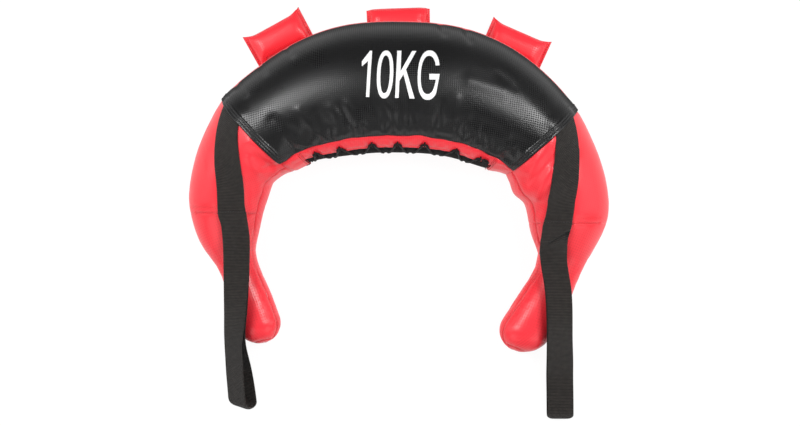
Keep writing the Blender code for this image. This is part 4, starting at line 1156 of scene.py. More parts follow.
def add_panels():
    for name, (material, side, patches) in panel_plans().items():
        lift = hem_lift() if name == "front_center_panel" else None
        panel = add_panel(name + "_cloth", patches, material, lift=lift, side=side)
        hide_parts(name)
    reach = (STATION["left_lace_end"] - TONGUE_LAP, STATION["right_lace_end"] + TONGUE_LAP)
    tongue = add_panel("tongue_cloth", [(*reach, ARM_SEAM, BACK_SEAM)], TONGUE_CLOTH, drop=TONGUE_DROP)
    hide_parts("tongue")


add_panels()


def dress_filling():
    """Real cloth and foam for the solids that stay as they are inside the skins."""
    stuffs = {"wadding_sleeve": FELT, "grip_foam_left": FOAM, "grip_foam_right": FOAM}
    stuffs |= {f"sand_bag_{number}": CANVAS for number in range(1, 5)}
    for node, material in stuffs.items():
        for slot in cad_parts[node].material_slots:
            slot.material = material


dress_filling()


# Strips and cords


def strip(name, middles, width_shares, width, thickness, material, crease):
    """A woven strip along a grid of points, rows by columns, with rounded edges."""
    along = np.gradient(middles, axis=0)
    across = np.gradient(middles, axis=1)
    normals = unit(np.cross(along, across))
    from_edge = (1 - np.abs(width_shares)) * width / 2
    rounding = thickness / 2
    thin = np.sqrt(1 - np.clip(1 - from_edge / rounding, 0, 1) ** 2)
    half = (thickness / 2 * np.maximum(thin, 0.08))[None, :, None]
    rows, columns = middles.shape[:2]
    lengths = travelled(middles[:, columns // 2:columns // 2 + 1], 0)[:, 0]
    cut = np.stack([np.repeat(lengths[:, None], columns, 1),
                    np.repeat(width_shares[None] * width / 2, rows, 0)], axis=2).reshape(-1, 2)
    points = np.concatenate([(middles - normals * half).reshape(-1, 3),
                             (middles + normals * half).reshape(-1, 3)])
    under = rows * columns
    faces = quads(rows, columns)
    faces += [tuple(corner + under for corner in face[::-1]) for face in faces]
    rim = list(range(columns)) + [i * columns + columns - 1 for i in range(1, rows)]
    rim += [(rows - 1) * columns + j for j in range(columns - 2, -1, -1)]
    rim += [i * columns for i in range(rows - 2, 0, -1)]
    for start, end in zip(rim, rim[1:] + rim[:1]):
        faces.append((end, start, start + under, end + under))
    return new_object(name, points, faces, material, np.concatenate([cut, cut]), np.tile(crease.ravel(), 2))


def smooth_path(points, step):
    """Places at even steps along a smooth curve through the points."""
    points = np.asarray(points, dtype=float)
    gaps = np.linalg.norm(np.diff(points, axis=0), axis=1)
    knots = np.concatenate([[0.0], np.cumsum(gaps)])
    bends = natural_bends(knots, points)
    count = max(2, round(knots[-1] / step))
    return np.array([spline_value(place, knots, points, bends)
                     for place in np.linspace(0.0, knots[-1], count + 1)])


CORD_SIDES = 10


def tube(name, path, radius, material):
    """A round cord along a path, with flat ends."""
    tangents = unit(np.gradient(path, axis=0))
    side = unit(np.cross(tangents[0], (0.31, 0.52, 0.79)))
    lengths = np.concatenate([[0.0], np.cumsum(np.linalg.norm(np.diff(path, axis=0), axis=1))])
    points, cut = [], []
    for i, (place, tangent) in enumerate(zip(path, tangents)):
        side = unit(side - tangent * np.dot(side, tangent))
        other = np.cross(tangent, side)
        for k in range(CORD_SIDES):
            turn = 2 * math.pi * k / CORD_SIDES
            points.append(place + (side * math.cos(turn) + other * math.sin(turn)) * radius)
            cut.append((lengths[i], k / CORD_SIDES))
    faces = quads(len(path), CORD_SIDES, closed=True)
    faces.append(tuple(range(CORD_SIDES))[::-1])
    faces.append(tuple(range(len(points) - CORD_SIDES, len(points))))
    return new_object(name, points, faces, material, cut)


# Webbing


ROW_LENGTH = 0.0035
LOOP_BEND_RADIUS = 0.010
LOOP_BULGE = 0.008
STEEPEST_FALL = 0.70
FLATTENING_LENGTH = 0.055
LAYER_GAP = 0.0003
TACK_RISE = 0.012  # where the sewn run climbs on to the loop's end under it
LEG_TWISTS = {
    # Turn of a leg in degrees, its shift sideways and where along it both begin
    "left": {"upper": (-40, 0.0054, 0.55), "lower": (0, -0.0032, 0.60)},
    "right": {"upper": (0, 0.0, 0.5), "lower": (0, 0.0, 0.5)},
}
NOTCH_PIXEL = (566, 242)  # where the crease draws the webbing's edge in
NOTCH_DEPTH, NOTCH_LENGTH = 0.0021, 0.0080
CORNER_START, CORNER_FADE = 0.70, 0.12  # share of the half width at which the painted shadow in the fold's outer corner begins
CORNER_EDGE, CORNER_LENGTH, CORNER_END = 0.002, 0.010, 0.003  # its upper fade, length and lower fade
CREASE_RIDGES = (
    # Rise, distance above the crease and reach of its lower lip, its upper lip and its own line
    (0.0026, -0.0036, 0.0032),
    (0.0008, 0.0030, 0.0030),
    (-0.0018, 0.0, 0.0015),
)
CREASE_PIXELS = ((548, 245), (567, 232))
CREASE_HEIGHT = 0.09  # of the webbing there, for reading places from the photograph
CREASE_ROWS, CREASE_PARTS = 12, 4
ACROSS = np.array([-1, -0.985, -0.95, -0.9, *np.linspace(-0.8, 0.8, 17), 0.9, 0.95, 0.985, 1])
LIFT_OFF = 0.0014  # of the free legs from what they lie on
JOIN_ROWS = 6  # rows over which a leg meets the sewn run
ROUNDED_ROWS = 5  # rows each way over which a leg's height is smoothed
BEND_TURNS = 12
EDGE_DRAW, EDGE_POWER = 0.4, 7  # how far the bend's edges draw in, and how close to them it begins
TACK_ROWS = 2
TACKED = {}  # the row of each strap that its tack stitches cross


def sewn_run(angles):
    """Middle surface of the webbing that is sewn to the arm, from the hem to the tack seam."""
    stations = np.array([STATION[key] for key in angles], dtype=float)
    values = np.array(list(angles.values()), dtype=float)[:, None]
    order = np.argsort(stations)
    bends = natural_bends(stations[order], values[order])
    tack = stations[-1]
    hem = PATTERN.moved(stations[0], TUCK if stations[0] > tack else -TUCK)
    length = abs(np.interp(tack, PATTERN.numbers, PATTERN.knots)
                 - np.interp(hem, PATTERN.numbers, PATTERN.knots))
    rows = []
    for share in np.linspace(0.0, 1.0, round(length / ROW_LENGTH) + 1):
        station = hem + (tack - hem) * share
        middle = float(spline_value(station, stations[order], values[order], bends)[0])
        ahead = float(spline_value(station + PROBE, stations[order], values[order], bends)[0])
        behind = float(spline_value(station - PROBE, stations[order], values[order], bends)[0])
        run = unit(PATTERN.point(station + PROBE, ahead) - PATTERN.point(station - PROBE, behind))
        around = PATTERN.point(station, middle + 1) - PATTERN.point(station, middle - 1)
        slant = float(np.dot(run, unit(around)))
        per_degree = np.linalg.norm(around) / 2
        reach = ACROSS * WEBBING_WIDTH / 2 / math.sqrt(1 - slant**2) / per_degree
        climb = smooth_step(1 - (1 - share) * length / TACK_RISE)
        lift = LAYER_GAP + WEBBING_THICKNESS / 2 + climb * (WEBBING_THICKNESS + LAYER_GAP)
        rows.append(seat(station, middle - reach, lift)[0])
    return np.array(rows)


def loop_legs(top_row, path, outward):
    """Middle surfaces of the loop's upper leg and lower leg, from the tack seam to the bend."""
    middle = top_row[len(top_row) // 2]
    edge = unit(top_row[-1] - top_row[0])
    roll = -math.degrees(math.atan2(edge[2], np.linalg.norm(edge[:2])))
    turn = math.degrees(math.atan2(outward * edge[1], outward * edge[0]))
    points = np.array([(*middle[:2], roll, turn), *path], dtype=float)
    points[1:, 0:2] += PLAN_SHIFT
    knots = np.concatenate([[0.0], np.cumsum(np.linalg.norm(np.diff(points[:, :2], axis=0), axis=1))])
    bends = natural_bends(knots, points)
    places = np.linspace(0.0, knots[-1], round(knots[-1] / ROW_LENGTH) + 1)
    rows = np.array([spline_value(place, knots, points, bends) for place in places])
    rolls, turns = np.radians(rows[:, 2]), np.radians(rows[:, 3])
    shares = ACROSS * WEBBING_WIDTH / 2
    way = np.stack([outward * np.cos(turns), outward * np.sin(turns)], axis=1)
    plans = rows[:, None, 0:2] + way[:, None] * (shares[None] * np.cos(rolls)[:, None])[..., None]
    flats = -shares[None] * np.sin(rolls)[:, None]
    grounds = np.array([[height_at(*place) for place in row] for row in plans])
    lifts = np.minimum(LIFT_OFF, grounds.max(axis=1))
    needs = (grounds - flats).max(axis=1) + lifts + WEBBING_THICKNESS / 2
    falls = STEEPEST_FALL * np.abs(places[:, None] - places[None])
    levels = (needs[None] - falls).max(axis=1)
    levels = rounded(levels, ROUNDED_ROWS)
    hug = np.maximum(0.0, 1 - places / FLATTENING_LENGTH)[:, None]
    laid = grounds + lifts[:, None] + WEBBING_THICKNESS / 2
    heights = (1 - hug) * (levels[:, None] + flats) + hug * laid
    lower = np.concatenate([plans, heights[..., None]], axis=2)
    closest = WEBBING_THICKNESS + LAYER_GAP
    share = np.linspace(0.0, 1.0, len(lower))
    part = closest + (2 * LOOP_BEND_RADIUS - closest) * smooth_step(share)
    part = part + LOOP_BULGE * np.sin(math.pi * share) ** 2
    upper = lower.copy()
    upper[..., 2] += part[:, None]
    return upper, lower


def twisted(leg, way, turn, shift, start):
    """A leg of the loop, turned about its own middle line and moved sideways towards its end."""
    share = smooth_step((np.linspace(0.0, 1.0, len(leg)) - start) / (1 - start))[:, None]
    middle = leg[:, len(ACROSS) // 2]
    arm = leg - middle[:, None]
    level = arm[..., :2] @ way
    angle = np.radians(turn) * share
    result = leg.copy()
    flat = level * np.cos(angle) - arm[..., 2] * np.sin(angle)
    result[..., 2] = middle[:, None, 2] + level * np.sin(angle) + arm[..., 2] * np.cos(angle)
    result[..., :2] += (flat - level + shift * share)[..., None] * way
    return result


def denser(leg, rows, parts):
    """A leg with its first rows parted into more."""
    places = np.concatenate([np.arange(0, rows, 1 / parts), np.arange(rows, len(leg))])
    base = np.minimum(places.astype(int), len(leg) - 2)
    share = (places - base)[:, None, None]
    return leg[base] * (1 - share) + leg[base + 1] * share


def creased(leg, start, end, notch):
    """A leg with a sharp slanting fold across it, where the webbing was kinked, and a mask of painted shade
    along the fold's line and of painted shadow in its outer corner.
    """
    along = unit(end - start)
    offset = leg[..., :2] - start
    away = offset @ np.array([-along[1], along[0]])
    run = offset @ along / np.linalg.norm(end - start)
    fade = smooth_step(run / 0.3 + 0.2)
    ridges = [np.exp(-((away - place) / reach) ** 2) * fade for _, place, reach in CREASE_RIDGES]
    result = leg.copy()
    result[..., 2] += sum(row[0] * ridge for row, ridge in zip(CREASE_RIDGES, ridges))
    outer = np.clip(ACROSS, 0, 1)[None] ** 2
    result[..., 0] -= NOTCH_DEPTH * outer * near(leg[..., 1], notch[1], NOTCH_LENGTH)
    # Painted shadow: a dark corner beside the fold, drawn in colour only
    corner = smooth_step((ACROSS[None] - CORNER_START) / CORNER_FADE) * smooth_step(-away / CORNER_EDGE)
    corner = corner * smooth_step((CORNER_LENGTH + away) / CORNER_END)
    return result, np.maximum(ridges[-1], corner)


def rounded(values, reach):
    """The values with their corners smoothed over a few rows each way."""
    padded = np.pad(values, reach, mode="edge")
    window = np.hanning(2 * reach + 3)[1:-1]
    return np.convolve(padded, window / window.sum(), mode="valid")


def loop_bend(upper_end, lower_end, away):
    """Rows round the loop's end, from its upper leg to its lower one."""
    rise = (upper_end - lower_end) / 2
    centre = (upper_end + lower_end) / 2
    rows = []
    reach = LOOP_BEND_RADIUS * (1 - EDGE_DRAW * np.abs(ACROSS) ** EDGE_POWER)[:, None]
    for turn in np.linspace(0.0, math.pi, BEND_TURNS)[1:-1]:
        rows.append(centre + rise * math.cos(turn) + away * reach * math.sin(turn))
    return np.array(rows)


def add_strap(side):
    angles, path, outward = STRAPS[side]
    run = sewn_run(angles)
    upper, lower = loop_legs(run[-1], path, outward)
    way = np.array([outward, 0.0])
    upper = twisted(upper, way, *LEG_TWISTS[side]["upper"])
    lower = twisted(lower, way, *LEG_TWISTS[side]["lower"])
    settle = smooth_step(np.linspace(0.0, 1.0, JOIN_ROWS))[:, None, None]
    upper[:JOIN_ROWS] += (run[-1] - upper[0]) * (1 - settle)
    fold = np.zeros(upper.shape[:2])
    if side == "right":
        marks = [from_photo(pixel, CREASE_HEIGHT) for pixel in (*CREASE_PIXELS, NOTCH_PIXEL)]
        upper, fold = creased(denser(upper, CREASE_ROWS, CREASE_PARTS), *marks)
    away = lower[-1].mean(axis=0) - lower[-3].mean(axis=0)
    away = unit(np.array([away[0], away[1], 0.0]))
    middles = np.concatenate([run, upper[1:], loop_bend(upper[-1], lower[-1], away), lower[:0:-1]])
    crease = np.zeros(middles.shape[:2])
    # The fold's painted shade and shadow, for the webbing's colour
    crease[len(run):len(run) + len(upper) - 1] = fold[1:]
    if outward < 0:
        middles = middles[:, ::-1]
    TACKED[side] = run[-TACK_ROWS]
    strap = strip(f"{side}_webbing", middles, ACROSS, WEBBING_WIDTH, WEBBING_THICKNESS, WEBBING, crease)
    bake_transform(strap)
    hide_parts(f"{side}_strap_anchor", f"{side}_strap_loop")


for strap_side in STRAPS:
    add_strap(strap_side)


# Top grips


TOP_GRIPS = {
    # Station on the outer rim, reach of the tabs and of the roll's near edge past it, turn in plan
    "left": (11.01, 0.0520, 0.0045, 2.7),
    "center": (13.00, 0.0245, -0.0145, 1.9),
    "right": (15.04, 0.0400, -0.0065, 2.3),
}
GRIP_HALF_LENGTH = 0.047
GRIP_THICKNESS = 0.0242
GRIP_WIDTH = 0.041
TAB_THICKNESS = 0.0030
TAB_LIFT = 0.0022
TAB_RISE = 0.010
TAB_TOP = 0.0044
TAB_LENGTH = 0.0045
PILLOW_END = 0.020  # length over which the padded part closes
PILLOW_POWER = 2.6  # of that end's curve: the higher, the blunter
PILLOW_SQUARE, TAB_SQUARE = 0.95, 0.3  # power of the section's curve, and what the flat ends take off it
PILLOW_FOLD = 0.0005
FOLDS_ROUND, FOLDS_ALONG = 2.6, 60  # folds in a radian round the grip, and in a metre along it
GRIP_CLEARANCE = 0.0003  # over the floor
END_BOW = 0.03  # share by which the sewn ends curve in
END_SHADE = 0.003  # reach of the painted shade from the sewn ends
EAR_LENGTH = 0.021
GRIP_RINGS, GRIP_SIDES = 81, 48
GRIP_FOLD = 0.0012
GRIP_STITCH = 0.0028  # of the sewn line from the grip's end
THREAD_RADIUS = 0.00042
GRIP_ROWS = {}  # the lines across each grip's ends that are sewn


def grip_frame(station, turn):
    """The line under the bag's rim that a top grip is sewn to, and how far inside the rim it is."""
    outer_x, outer_y, inner_x, inner_y, height, _ = PATTERN.row_at(station)
    across = np.array([outer_x - inner_x, outer_y - inner_y])
    half = np.linalg.norm(across) / 2
    outward = unit(across)
    widest = WIDEST_SHARE * height
    drop = (widest - TAB_TOP) / (LOWER_FULLNESS * widest)
    inside_rim = half * (1 - math.sqrt(1 - drop**2))
    origin = np.array([*(np.array([outer_x, outer_y]) - outward * inside_rim), TAB_LIFT])
    cosine, sine = math.cos(math.radians(turn)), math.sin(math.radians(turn))
    out_x, out_y = outward
    outward = np.array([out_x * cosine - out_y * sine, out_x * sine + out_y * cosine, 0.0])
    tangent = np.array([outward[1], -outward[0], 0.0])
    return origin, tangent, outward, inside_rim


def add_top_grip(side, station, overhang, near_edge, turn, seed):
    """A padded sleeve whose ends are sewn flat and under the bag's rim."""
    origin, tangent, outward, inside_rim = grip_frame(station, turn)
    reach = inside_rim + overhang
    lengths = np.linspace(-1.0, 1.0, GRIP_RINGS) * GRIP_HALF_LENGTH
    turns = np.linspace(0.0, 2 * math.pi, GRIP_SIDES, endpoint=False)
    from_end = (GRIP_HALF_LENGTH - np.abs(lengths))[:, None]
    closing = np.clip(1 - (from_end - TAB_LENGTH) / PILLOW_END, 0, 1)
    plump = np.sqrt(1 - closing**PILLOW_POWER)
    flat = 1 - plump
    ear = np.clip(1 - from_end / EAR_LENGTH, 0, 1) ** 2
    middle_out, tab_out = inside_rim + near_edge + GRIP_WIDTH / 2, reach / 2
    out = middle_out + (tab_out - middle_out) * ear
    up = GRIP_THICKNESS / 2 + (TAB_THICKNESS / 2 + TAB_RISE / 2 - GRIP_THICKNESS / 2) * flat
    half_width = (GRIP_WIDTH + (reach - GRIP_WIDTH) * ear) / 2
    half_thickness = (TAB_THICKNESS + (GRIP_THICKNESS - TAB_THICKNESS) * plump) / 2
    slope = math.atan2(TAB_RISE, reach) * flat
    square = PILLOW_SQUARE - TAB_SQUARE * flat
    cosine, sine = np.cos(turns)[None], np.sin(turns)[None]
    fold = wave(np.repeat(turns[None], len(lengths), 0) * FOLDS_ROUND,
                np.repeat(lengths[:, None], len(turns), 1) * FOLDS_ALONG, 1.0, seed)
    fold = fold * (GRIP_FOLD * 4 * flat * (1 - flat) + PILLOW_FOLD * plump)
    r = (half_width + fold) * np.sign(cosine) * np.abs(cosine) ** square
    z = (half_thickness + fold) * np.sign(sine) * np.abs(sine) ** square
    y = out + r * np.cos(slope) - z * np.sin(slope)
    height = up + r * np.sin(slope) + z * np.cos(slope) - TAB_LIFT + GRIP_CLEARANCE
    bow = 1 - END_BOW * ear * (1 - np.clip((y - reach / 2) / (reach / 2), -1, 1) ** 2)
    x = lengths[:, None] * bow
    places = origin + x[..., None] * tangent + y[..., None] * outward
    places = places + height[..., None] * np.array([0.0, 0.0, 1.0])
    closed = np.concatenate([places, places[:, :1]], axis=1)
    cut = np.stack([x, travelled(closed, 1)[:, :-1]], axis=2).reshape(-1, 2)
    # Painted shade, darkest at the grip's sewn ends
    crease = np.exp(-(GRIP_HALF_LENGTH - np.abs(lengths)) / END_SHADE)
    crease = np.repeat(crease[:, None], len(turns), 1)
    faces = [(a, d, c, b) for a, b, c, d in quads(GRIP_RINGS, GRIP_SIDES, closed=True)]
    faces.append(tuple(range(GRIP_SIDES)))
    faces.append(tuple(range((GRIP_RINGS - 1) * GRIP_SIDES, GRIP_RINGS * GRIP_SIDES))[::-1])
    top = slice(3, GRIP_SIDES // 2 - 2)
    ends = [int(np.argmin(np.abs(GRIP_HALF_LENGTH - GRIP_STITCH - way * lengths))) for way in (-1, 1)]
    GRIP_ROWS[side] = [places[row, top] + (0, 0, THREAD_RADIUS / 3) for row in ends]
    grip = new_object(f"top_grip_{side}_pad", places.reshape(-1, 3), faces, RED, cut, crease.ravel())
    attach(grip, f"top_grip_{side}")
    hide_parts(f"top_grip_sleeve_{side}", f"top_grip_foam_{side}")


for number, (grip_side, values) in enumerate(TOP_GRIPS.items()):
    add_top_grip(grip_side, *values, seed=20 + number)


# Lacing


LACE_RADIUS = 0.0018
LACE_LIFT = 0.0003
LACE_SINK = 0.0008  # how far it beds into the tongue
LACE_SAG, SAG_REACH = 0.0015, 18  # how much farther it does so midway, and within how many degrees
FLAP_LAP, FLAP_STEP = 3, 5  # degrees before a flap's edge where the lace sinks, and over which
LOOP_SINK = 0.0008  # of the cord loops' feet in the vinyl
ARCH_POINTS = 13
LACE_BACK_STATIONS = (10.13, 10.82, 11.70, 12.56, 13.36, 14.25, 15.12)
LACE_FRONT_ANGLE, LACE_BACK_ANGLE = 149, 206.5
LEG_POINTS = 13
LACE_APEX = 0.0022
LOOP_CORD_RADIUS = 0.0010
LOOP_CORD_PLAY = 0.0002
KNOT_SIZE = (0.0065, 0.0045, 0.0042)
KNOT_CORE = 0.62  # of the cord's middle line, as a share of the knot's size
KNOT_TURNS, KNOT_CROSSING, KNOT_POINTS = 1.9, 1.5, 60
LACE_STEP = 0.0016


def lace_route():
    """The lace's middle line: under each sewn loop in turn, and across between them."""
    stops = []
    for back, front in zip(LACE_BACK_STATIONS, LACE_FRONT_STATIONS):
        stops += [(back, LACE_BACK_ANGLE), (front, LACE_FRONT_ANGLE)]
    apexes = []
    for station, angle in stops:
        ahead = settled(station + PROBE, angle) - settled(station - PROBE, angle)
        half = LACE_APEX * (2 * PROBE) / np.linalg.norm(ahead)
        apexes.append((station - half, station + half, angle))
    places = []
    for (before, after, angle), following in zip(apexes, [*apexes[1:], None]):
        places += [(before, angle), (after, angle)]
        if following is None:
            break
        arrival, _, next_angle = following
        for share in np.linspace(0, 1, LEG_POINTS)[1:-1]:
            quick = 1 - (1 - share) ** 2 if angle == LACE_FRONT_ANGLE else share**2
            places.append((after + (arrival - after) * quick, angle + (next_angle - angle) * share))
    stations, angles = np.array(places).T
    past_front = (angles - FLAP_EDGE + FLAP_LAP) / FLAP_STEP
    past_back = (BACK_FLAP_EDGE + FLAP_LAP - angles) / FLAP_STEP
    over_tongue = smooth_step(past_front) * smooth_step(past_back)
    sink = LACE_SINK + LACE_SAG * near(angles, 180, SAG_REACH)
    lift = LACE_RADIUS + LACE_LIFT - over_tongue * (TONGUE_DROP + LACE_LIFT + sink)
    return seat(stations, angles, lift[:, None])[0]


def add_sewn_loop(name, station, angle):
    """A short cord loop, sewn to the flap at both feet, that holds the lace down."""
    foot, outward, ahead = (part.reshape(3) for part in seat(station, angle, -LOOP_SINK))
    across = np.cross(outward, ahead)
    radius = LACE_RADIUS + LOOP_CORD_PLAY + LOOP_CORD_RADIUS
    centre = LACE_RADIUS + LACE_LIFT + LOOP_SINK
    route = [foot - across * radius]
    for turn in np.linspace(0, math.pi, ARCH_POINTS):
        route.append(foot - across * radius * math.cos(turn)
                     + outward * (centre + radius * math.sin(turn)))
    route.append(foot + across * radius)
    loop = tube(name + "_cord", np.array(route), LOOP_CORD_RADIUS, CORD)
    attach(loop, "bag")
    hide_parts(name)


def add_knot(name, station, angle, side):
    """The overhand knot that stops the lace at one end."""
    place, outward, ahead = (part.reshape(3) for part in seat(station, angle, KNOT_SIZE[2]))
    centre = place + ahead * side * (LACE_APEX + KNOT_SIZE[0])
    across = np.cross(outward, ahead)
    route = []
    for turn in np.linspace(0, 2 * math.pi * KNOT_TURNS, KNOT_POINTS):
        wide = KNOT_SIZE[0] * KNOT_CORE * math.cos(turn * KNOT_CROSSING)
        route.append(centre + ahead * wide
                     + across * KNOT_SIZE[1] * KNOT_CORE * math.cos(turn)
                     + outward * KNOT_SIZE[2] * KNOT_CORE * math.sin(turn))
    knot = tube(name + "_cord", np.array(route), LACE_RADIUS, CORD)
    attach(knot, "bag")
    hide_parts(name)


def add_lacing():
    lace = tube("lace_cord", smooth_path(lace_route(), LACE_STEP), LACE_RADIUS, CORD)
    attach(lace, "bag")
    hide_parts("lace")
    for number, station in enumerate(LACE_FRONT_STATIONS, start=1):
        add_sewn_loop(f"lace_loop_front_{number}", station, LACE_FRONT_ANGLE)
    for number, station in enumerate(LACE_BACK_STATIONS, start=1):
        add_sewn_loop(f"lace_loop_back_{number}", station, LACE_BACK_ANGLE)
    add_knot("lace_knot_left", LACE_BACK_STATIONS[0], LACE_BACK_ANGLE, -1)
    add_knot("lace_knot_right", LACE_FRONT_STATIONS[-1], LACE_FRONT_ANGLE, 1)


add_lacing()


# Stitches


STITCH_PITCH = 0.0036
STITCH_LENGTH = 0.0029
UNEVENNESS = 0.00012
SEAM_STITCHES = 0.0022  # of the double line beside a seam
TACK_STUB = (16, 22)  # degrees from the webbing's middle at which the tack runs on over the vinyl
STUB_POINTS = 4
SHORT_OF_SEAM = 2  # degrees that a stitched line ends before the seam
STITCH_LIFT = THREAD_RADIUS / 3  # height of a stitch's middle over what it is sewn into


def stitch_tree():
    """Geometry Nodes that lay a stitch, a small capsule, at every step along a mesh's edges."""
    tree = bpy.data.node_groups.new("stitches", "GeometryNodeTree")
    inputs = {"Lines": "Geometry", "Pitch": "Float", "Stitch Length": "Float", "Thread Radius": "Float",
              "Unevenness": "Float", "Seed": "Int", "Thread": "Material"}
    for name, kind in inputs.items():
        tree.interface.new_socket(name, in_out="INPUT", socket_type="NodeSocket" + kind)
    tree.interface.new_socket("Stitches", in_out="OUTPUT", socket_type="NodeSocketGeometry")
    given = tree.nodes.new("NodeGroupInput").outputs
    curve = add_node(tree, "GeometryNodeMeshToCurve", Mesh=given["Lines"])
    steps = add_node(tree, "GeometryNodeCurveToPoints", mode="LENGTH", Curve=curve.outputs[0],
                     Length=given["Pitch"])
    least = add_node(tree, "ShaderNodeMath", operation="MULTIPLY", _0=given["Unevenness"], _1=-1.0)
    stray = add_node(tree, "FunctionNodeRandomValue", data_type="FLOAT_VECTOR",
                     Min=least.outputs[0], Max=given["Unevenness"], Seed=given["Seed"])
    moved = add_node(tree, "GeometryNodeSetPosition", Geometry=steps.outputs["Points"],
                     Offset=stray.outputs[0])
    half = add_node(tree, "ShaderNodeMath", operation="MULTIPLY", _0=given["Stitch Length"], _1=0.5)
    size = add_node(tree, "ShaderNodeCombineXYZ", X=given["Thread Radius"], Y=given["Thread Radius"],
                    Z=half.outputs[0])
    capsule = add_node(tree, "GeometryNodeMeshUVSphere", Segments=8, Rings=5, Radius=1.0)
    placed = add_node(tree, "GeometryNodeInstanceOnPoints", Points=moved.outputs[0],
                      Instance=capsule.outputs[0], Rotation=steps.outputs["Rotation"], Scale=size.outputs[0])
    real = add_node(tree, "GeometryNodeRealizeInstances", _0=placed.outputs[0])
    dressed = add_node(tree, "GeometryNodeSetMaterial", Geometry=real.outputs[0],
                       Material=given["Thread"])
    add_node(tree, "NodeGroupOutput", _0=dressed.outputs[0])
    return tree


def add_stitches(tree, name, lines, material, body, seed):
    """All the stitches of one thread on one body, along lines of places."""
    places = np.concatenate(lines)
    edges, start = [], 0
    for line in lines:
        edges += [(start + i, start + i + 1) for i in range(len(line) - 1)]
        start += len(line)
    mesh = bpy.data.meshes.new("stitch_lines")
    mesh.from_pydata([tuple(p) for p in places], edges, [])
    guide = bpy.data.objects.new("stitch_lines", mesh)
    bpy.context.scene.collection.objects.link(guide)
    modifier = guide.modifiers.new("stitches", "NODES")
    modifier.node_group = tree
    values = {"Pitch": STITCH_PITCH, "Stitch Length": STITCH_LENGTH, "Thread Radius": THREAD_RADIUS,
              "Unevenness": UNEVENNESS, "Seed": seed, "Thread": material}
    for socket in tree.interface.items_tree:
        if socket.name in values:
            modifier[socket.identifier] = values[socket.name]
    evaluated = guide.evaluated_get(bpy.context.evaluated_depsgraph_get())
    sewn = bpy.data.meshes.new_from_object(evaluated)
    bpy.data.objects.remove(guide, do_unlink=True)
    sewn.name = name
    sewn.shade_smooth()
    stitches = bpy.data.objects.new(name, sewn)
    bpy.context.scene.collection.objects.link(stitches)
    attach(stitches, body)


def beside_ring(station, away, first, last, lift):
    """Places on the finished surface in a line beside a ring seam, from one angle to another."""
    i = SURFACE.row(station)
    raised = SURFACE.points + SURFACE.normals * (lift + STITCH_LIFT)[..., None]
    line = []
    for j in range(SURFACE.column(first), SURFACE.column(last) + 1):
        row = np.interp(away, SURFACE.down[:, j] - SURFACE.down[i, j], np.arange(len(SURFACE.rows)))
        low = min(int(row), len(SURFACE.rows) - 2)
        line.append(raised[low, j] * (low + 1 - row) + raised[low + 1, j] * (row - low))
    return np.array(line)


def tack_lines(side):
    """The tack seam over the webbing, and its stubs on the vinyl beside it."""
    row = TACKED[side]
    lines = [row[1:-1] + (0, 0, WEBBING_THICKNESS / 2 + STITCH_LIFT)]
    station = STATION[side + "_tack"]
    middle = STRAPS[side][0][side + "_tack"]
    for way in (-1, 1):
        angles = middle + way * np.linspace(*TACK_STUB, STUB_POINTS)
        places, outward = on_surface(station, angles)
        lines.append(places + outward * THREAD_RADIUS / 3)
    return lines


def add_all_stitches():
    tree = stitch_tree()
    level = np.zeros(SURFACE.base.shape[:2])
    black, red = [], []
    for side, way in (("left", 1), ("right", -1)):
        for line in HEM_STITCH_LINES:
            black.append(beside_ring(STATION[side + "_hem"], way * line, OUTER_SEAM + SHORT_OF_SEAM,
                                     FRONT_SEAM - SHORT_OF_SEAM, hem_lift()))
        black += tack_lines(side)
        for away in (-SEAM_STITCHES, SEAM_STITCHES):
            red.append(beside_ring(STATION[side + "_lace_end"], away, FRONT_SEAM + SHORT_OF_SEAM,
                                   BACK_SEAM - SHORT_OF_SEAM, level))
    add_stitches(tree, "black_stitches", black, THREAD, "bag", 3)
    add_stitches(tree, "red_stitches", red, RED_THREAD, "bag", 4)
    for seed, (side, rows) in enumerate(GRIP_ROWS.items(), start=5):
        grip = f"top_grip_{side}"
        add_stitches(tree, grip + "_stitches", rows, RED_THREAD, grip, seed)


add_all_stitches()


# Weight marking, drawn in millimetres from the lower left corner of its plain letters


MARKING_CORNER_PIXEL = (361.85, 98.6)
MARKING_HEIGHT = 0.148  # of the vinyl under it, for reading places from the photograph
INK = 0.00012
INK_GRID = 0.0016
INK_SQUARE, INK_LEAN = 0.88, 0.045  # power of the round strokes' curve, and lean to the right


def rounded_arc(centre, half, start, end, count):
    """Points of a letter's round stroke, from one angle to another, leaning as the letters do."""
    points = []
    for turn in np.radians(np.linspace(start, end, count)):
        x = half[0] * math.copysign(abs(math.cos(turn)) ** INK_SQUARE, math.cos(turn))
        y = half[1] * math.copysign(abs(math.sin(turn)) ** INK_SQUARE, math.sin(turn))
        points.append((centre[0] + x + INK_LEAN * y, centre[1] + y))
    return points


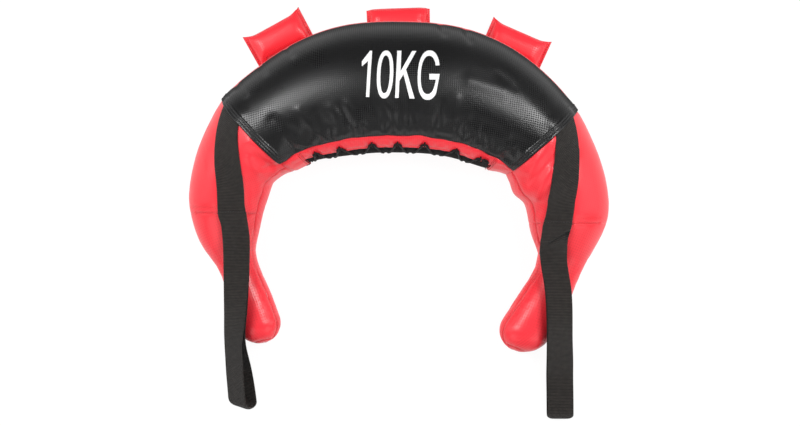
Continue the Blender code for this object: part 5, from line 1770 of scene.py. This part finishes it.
def letters():
    """Outlines of the plain weight marking: each letter's outer one, then its holes."""
    one = [(5.7, 2.0), (10.3, 2.0), (14.3, 67.5), (11.1, 67.5), (0.0, 52.1), (0.0, 44.8), (8.6, 52.5)]
    zero = [rounded_arc((32.4, 33.9), (11.4, 33.9), 0, 354, 40),
            rounded_arc((32.4, 33.9), (6.5, 26.7), 0, 354, 32)]
    k = [(46.2, 0.8), (51.2, 0.8), (52.3, 24.2), (57.9, 33.9), (66.4, 0.0), (73.3, 0.0),
         (61.6, 40.4), (76.1, 67.1), (70.1, 67.1), (53.9, 38.0), (55.1, 67.5), (49.3, 67.5)]
    g = rounded_arc((93.1, 33.0), (15.4, 35.0), 20, 316, 40)
    g += [(108.4, 34.3), (93.9, 34.3), (93.9, 26.3), (103.0, 26.3)]
    g += rounded_arc((92.6, 33.0), (10.6, 27.0), 334, 26, 36)
    return [[one], zero, [k], [g]]


def inside(point, outline):
    x, y = point
    crossed = False
    for (x1, y1), (x2, y2) in zip(outline, outline[1:] + outline[:1]):
        if (y1 > y) != (y2 > y) and x < (x2 - x1) * (y - y1) / (y2 - y1) + x1:
            crossed = not crossed
    return crossed


def add_marking():
    """The white weight marking, printed on the black vinyl and following it."""
    corner = from_photo(MARKING_CORNER_PIXEL, MARKING_HEIGHT)
    step = INK_GRID * 1000
    points, faces = [], []
    for outlines in letters():
        flat, edges = [], []
        for outline in outlines:
            dense = subdivided(outline, step)
            start = len(flat)
            flat += dense
            edges += [(start + i, start + (i + 1) % len(dense)) for i in range(len(dense))]
        xs, ys = zip(*outlines[0])
        for x in np.arange(min(xs), max(xs), step):
            for y in np.arange(min(ys), max(ys), step):
                closest = min(math.hypot(x - a, y - b) for a, b in flat)
                if closest > step * 0.5 and sum(inside((x, y), o) for o in outlines) == 1:
                    flat.append((x, y))
        found = delaunay_2d_cdt([Vector(p) for p in flat], edges, [], 0, 1e-5)
        kept = [face for face in found[2]
                if sum(inside(np.mean([found[0][v] for v in face], axis=0), o) for o in outlines) == 1]
        start = len(points)
        points += [(corner[0] + p.x / 1000, corner[1] + p.y / 1000) for p in found[0]]
        faces += [tuple(start + v for v in face) for face in kept]
    heights = [height_at(*p) for p in points]
    top = [(x, y, z + INK) for (x, y), z in zip(points, heights)]
    marking = new_object("weight_marking", top, faces, INK_WHITE, np.array(points))
    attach(marking, "bag")


def subdivided(outline, step):
    """The outline with more points on its long straight edges."""
    dense = []
    for start, end in zip(outline, outline[1:] + outline[:1]):
        count = max(1, round(math.dist(start, end) / step))
        dense += [(start[0] + (end[0] - start[0]) * i / count, start[1] + (end[1] - start[1]) * i / count)
                  for i in range(count)]
    return dense


add_marking()
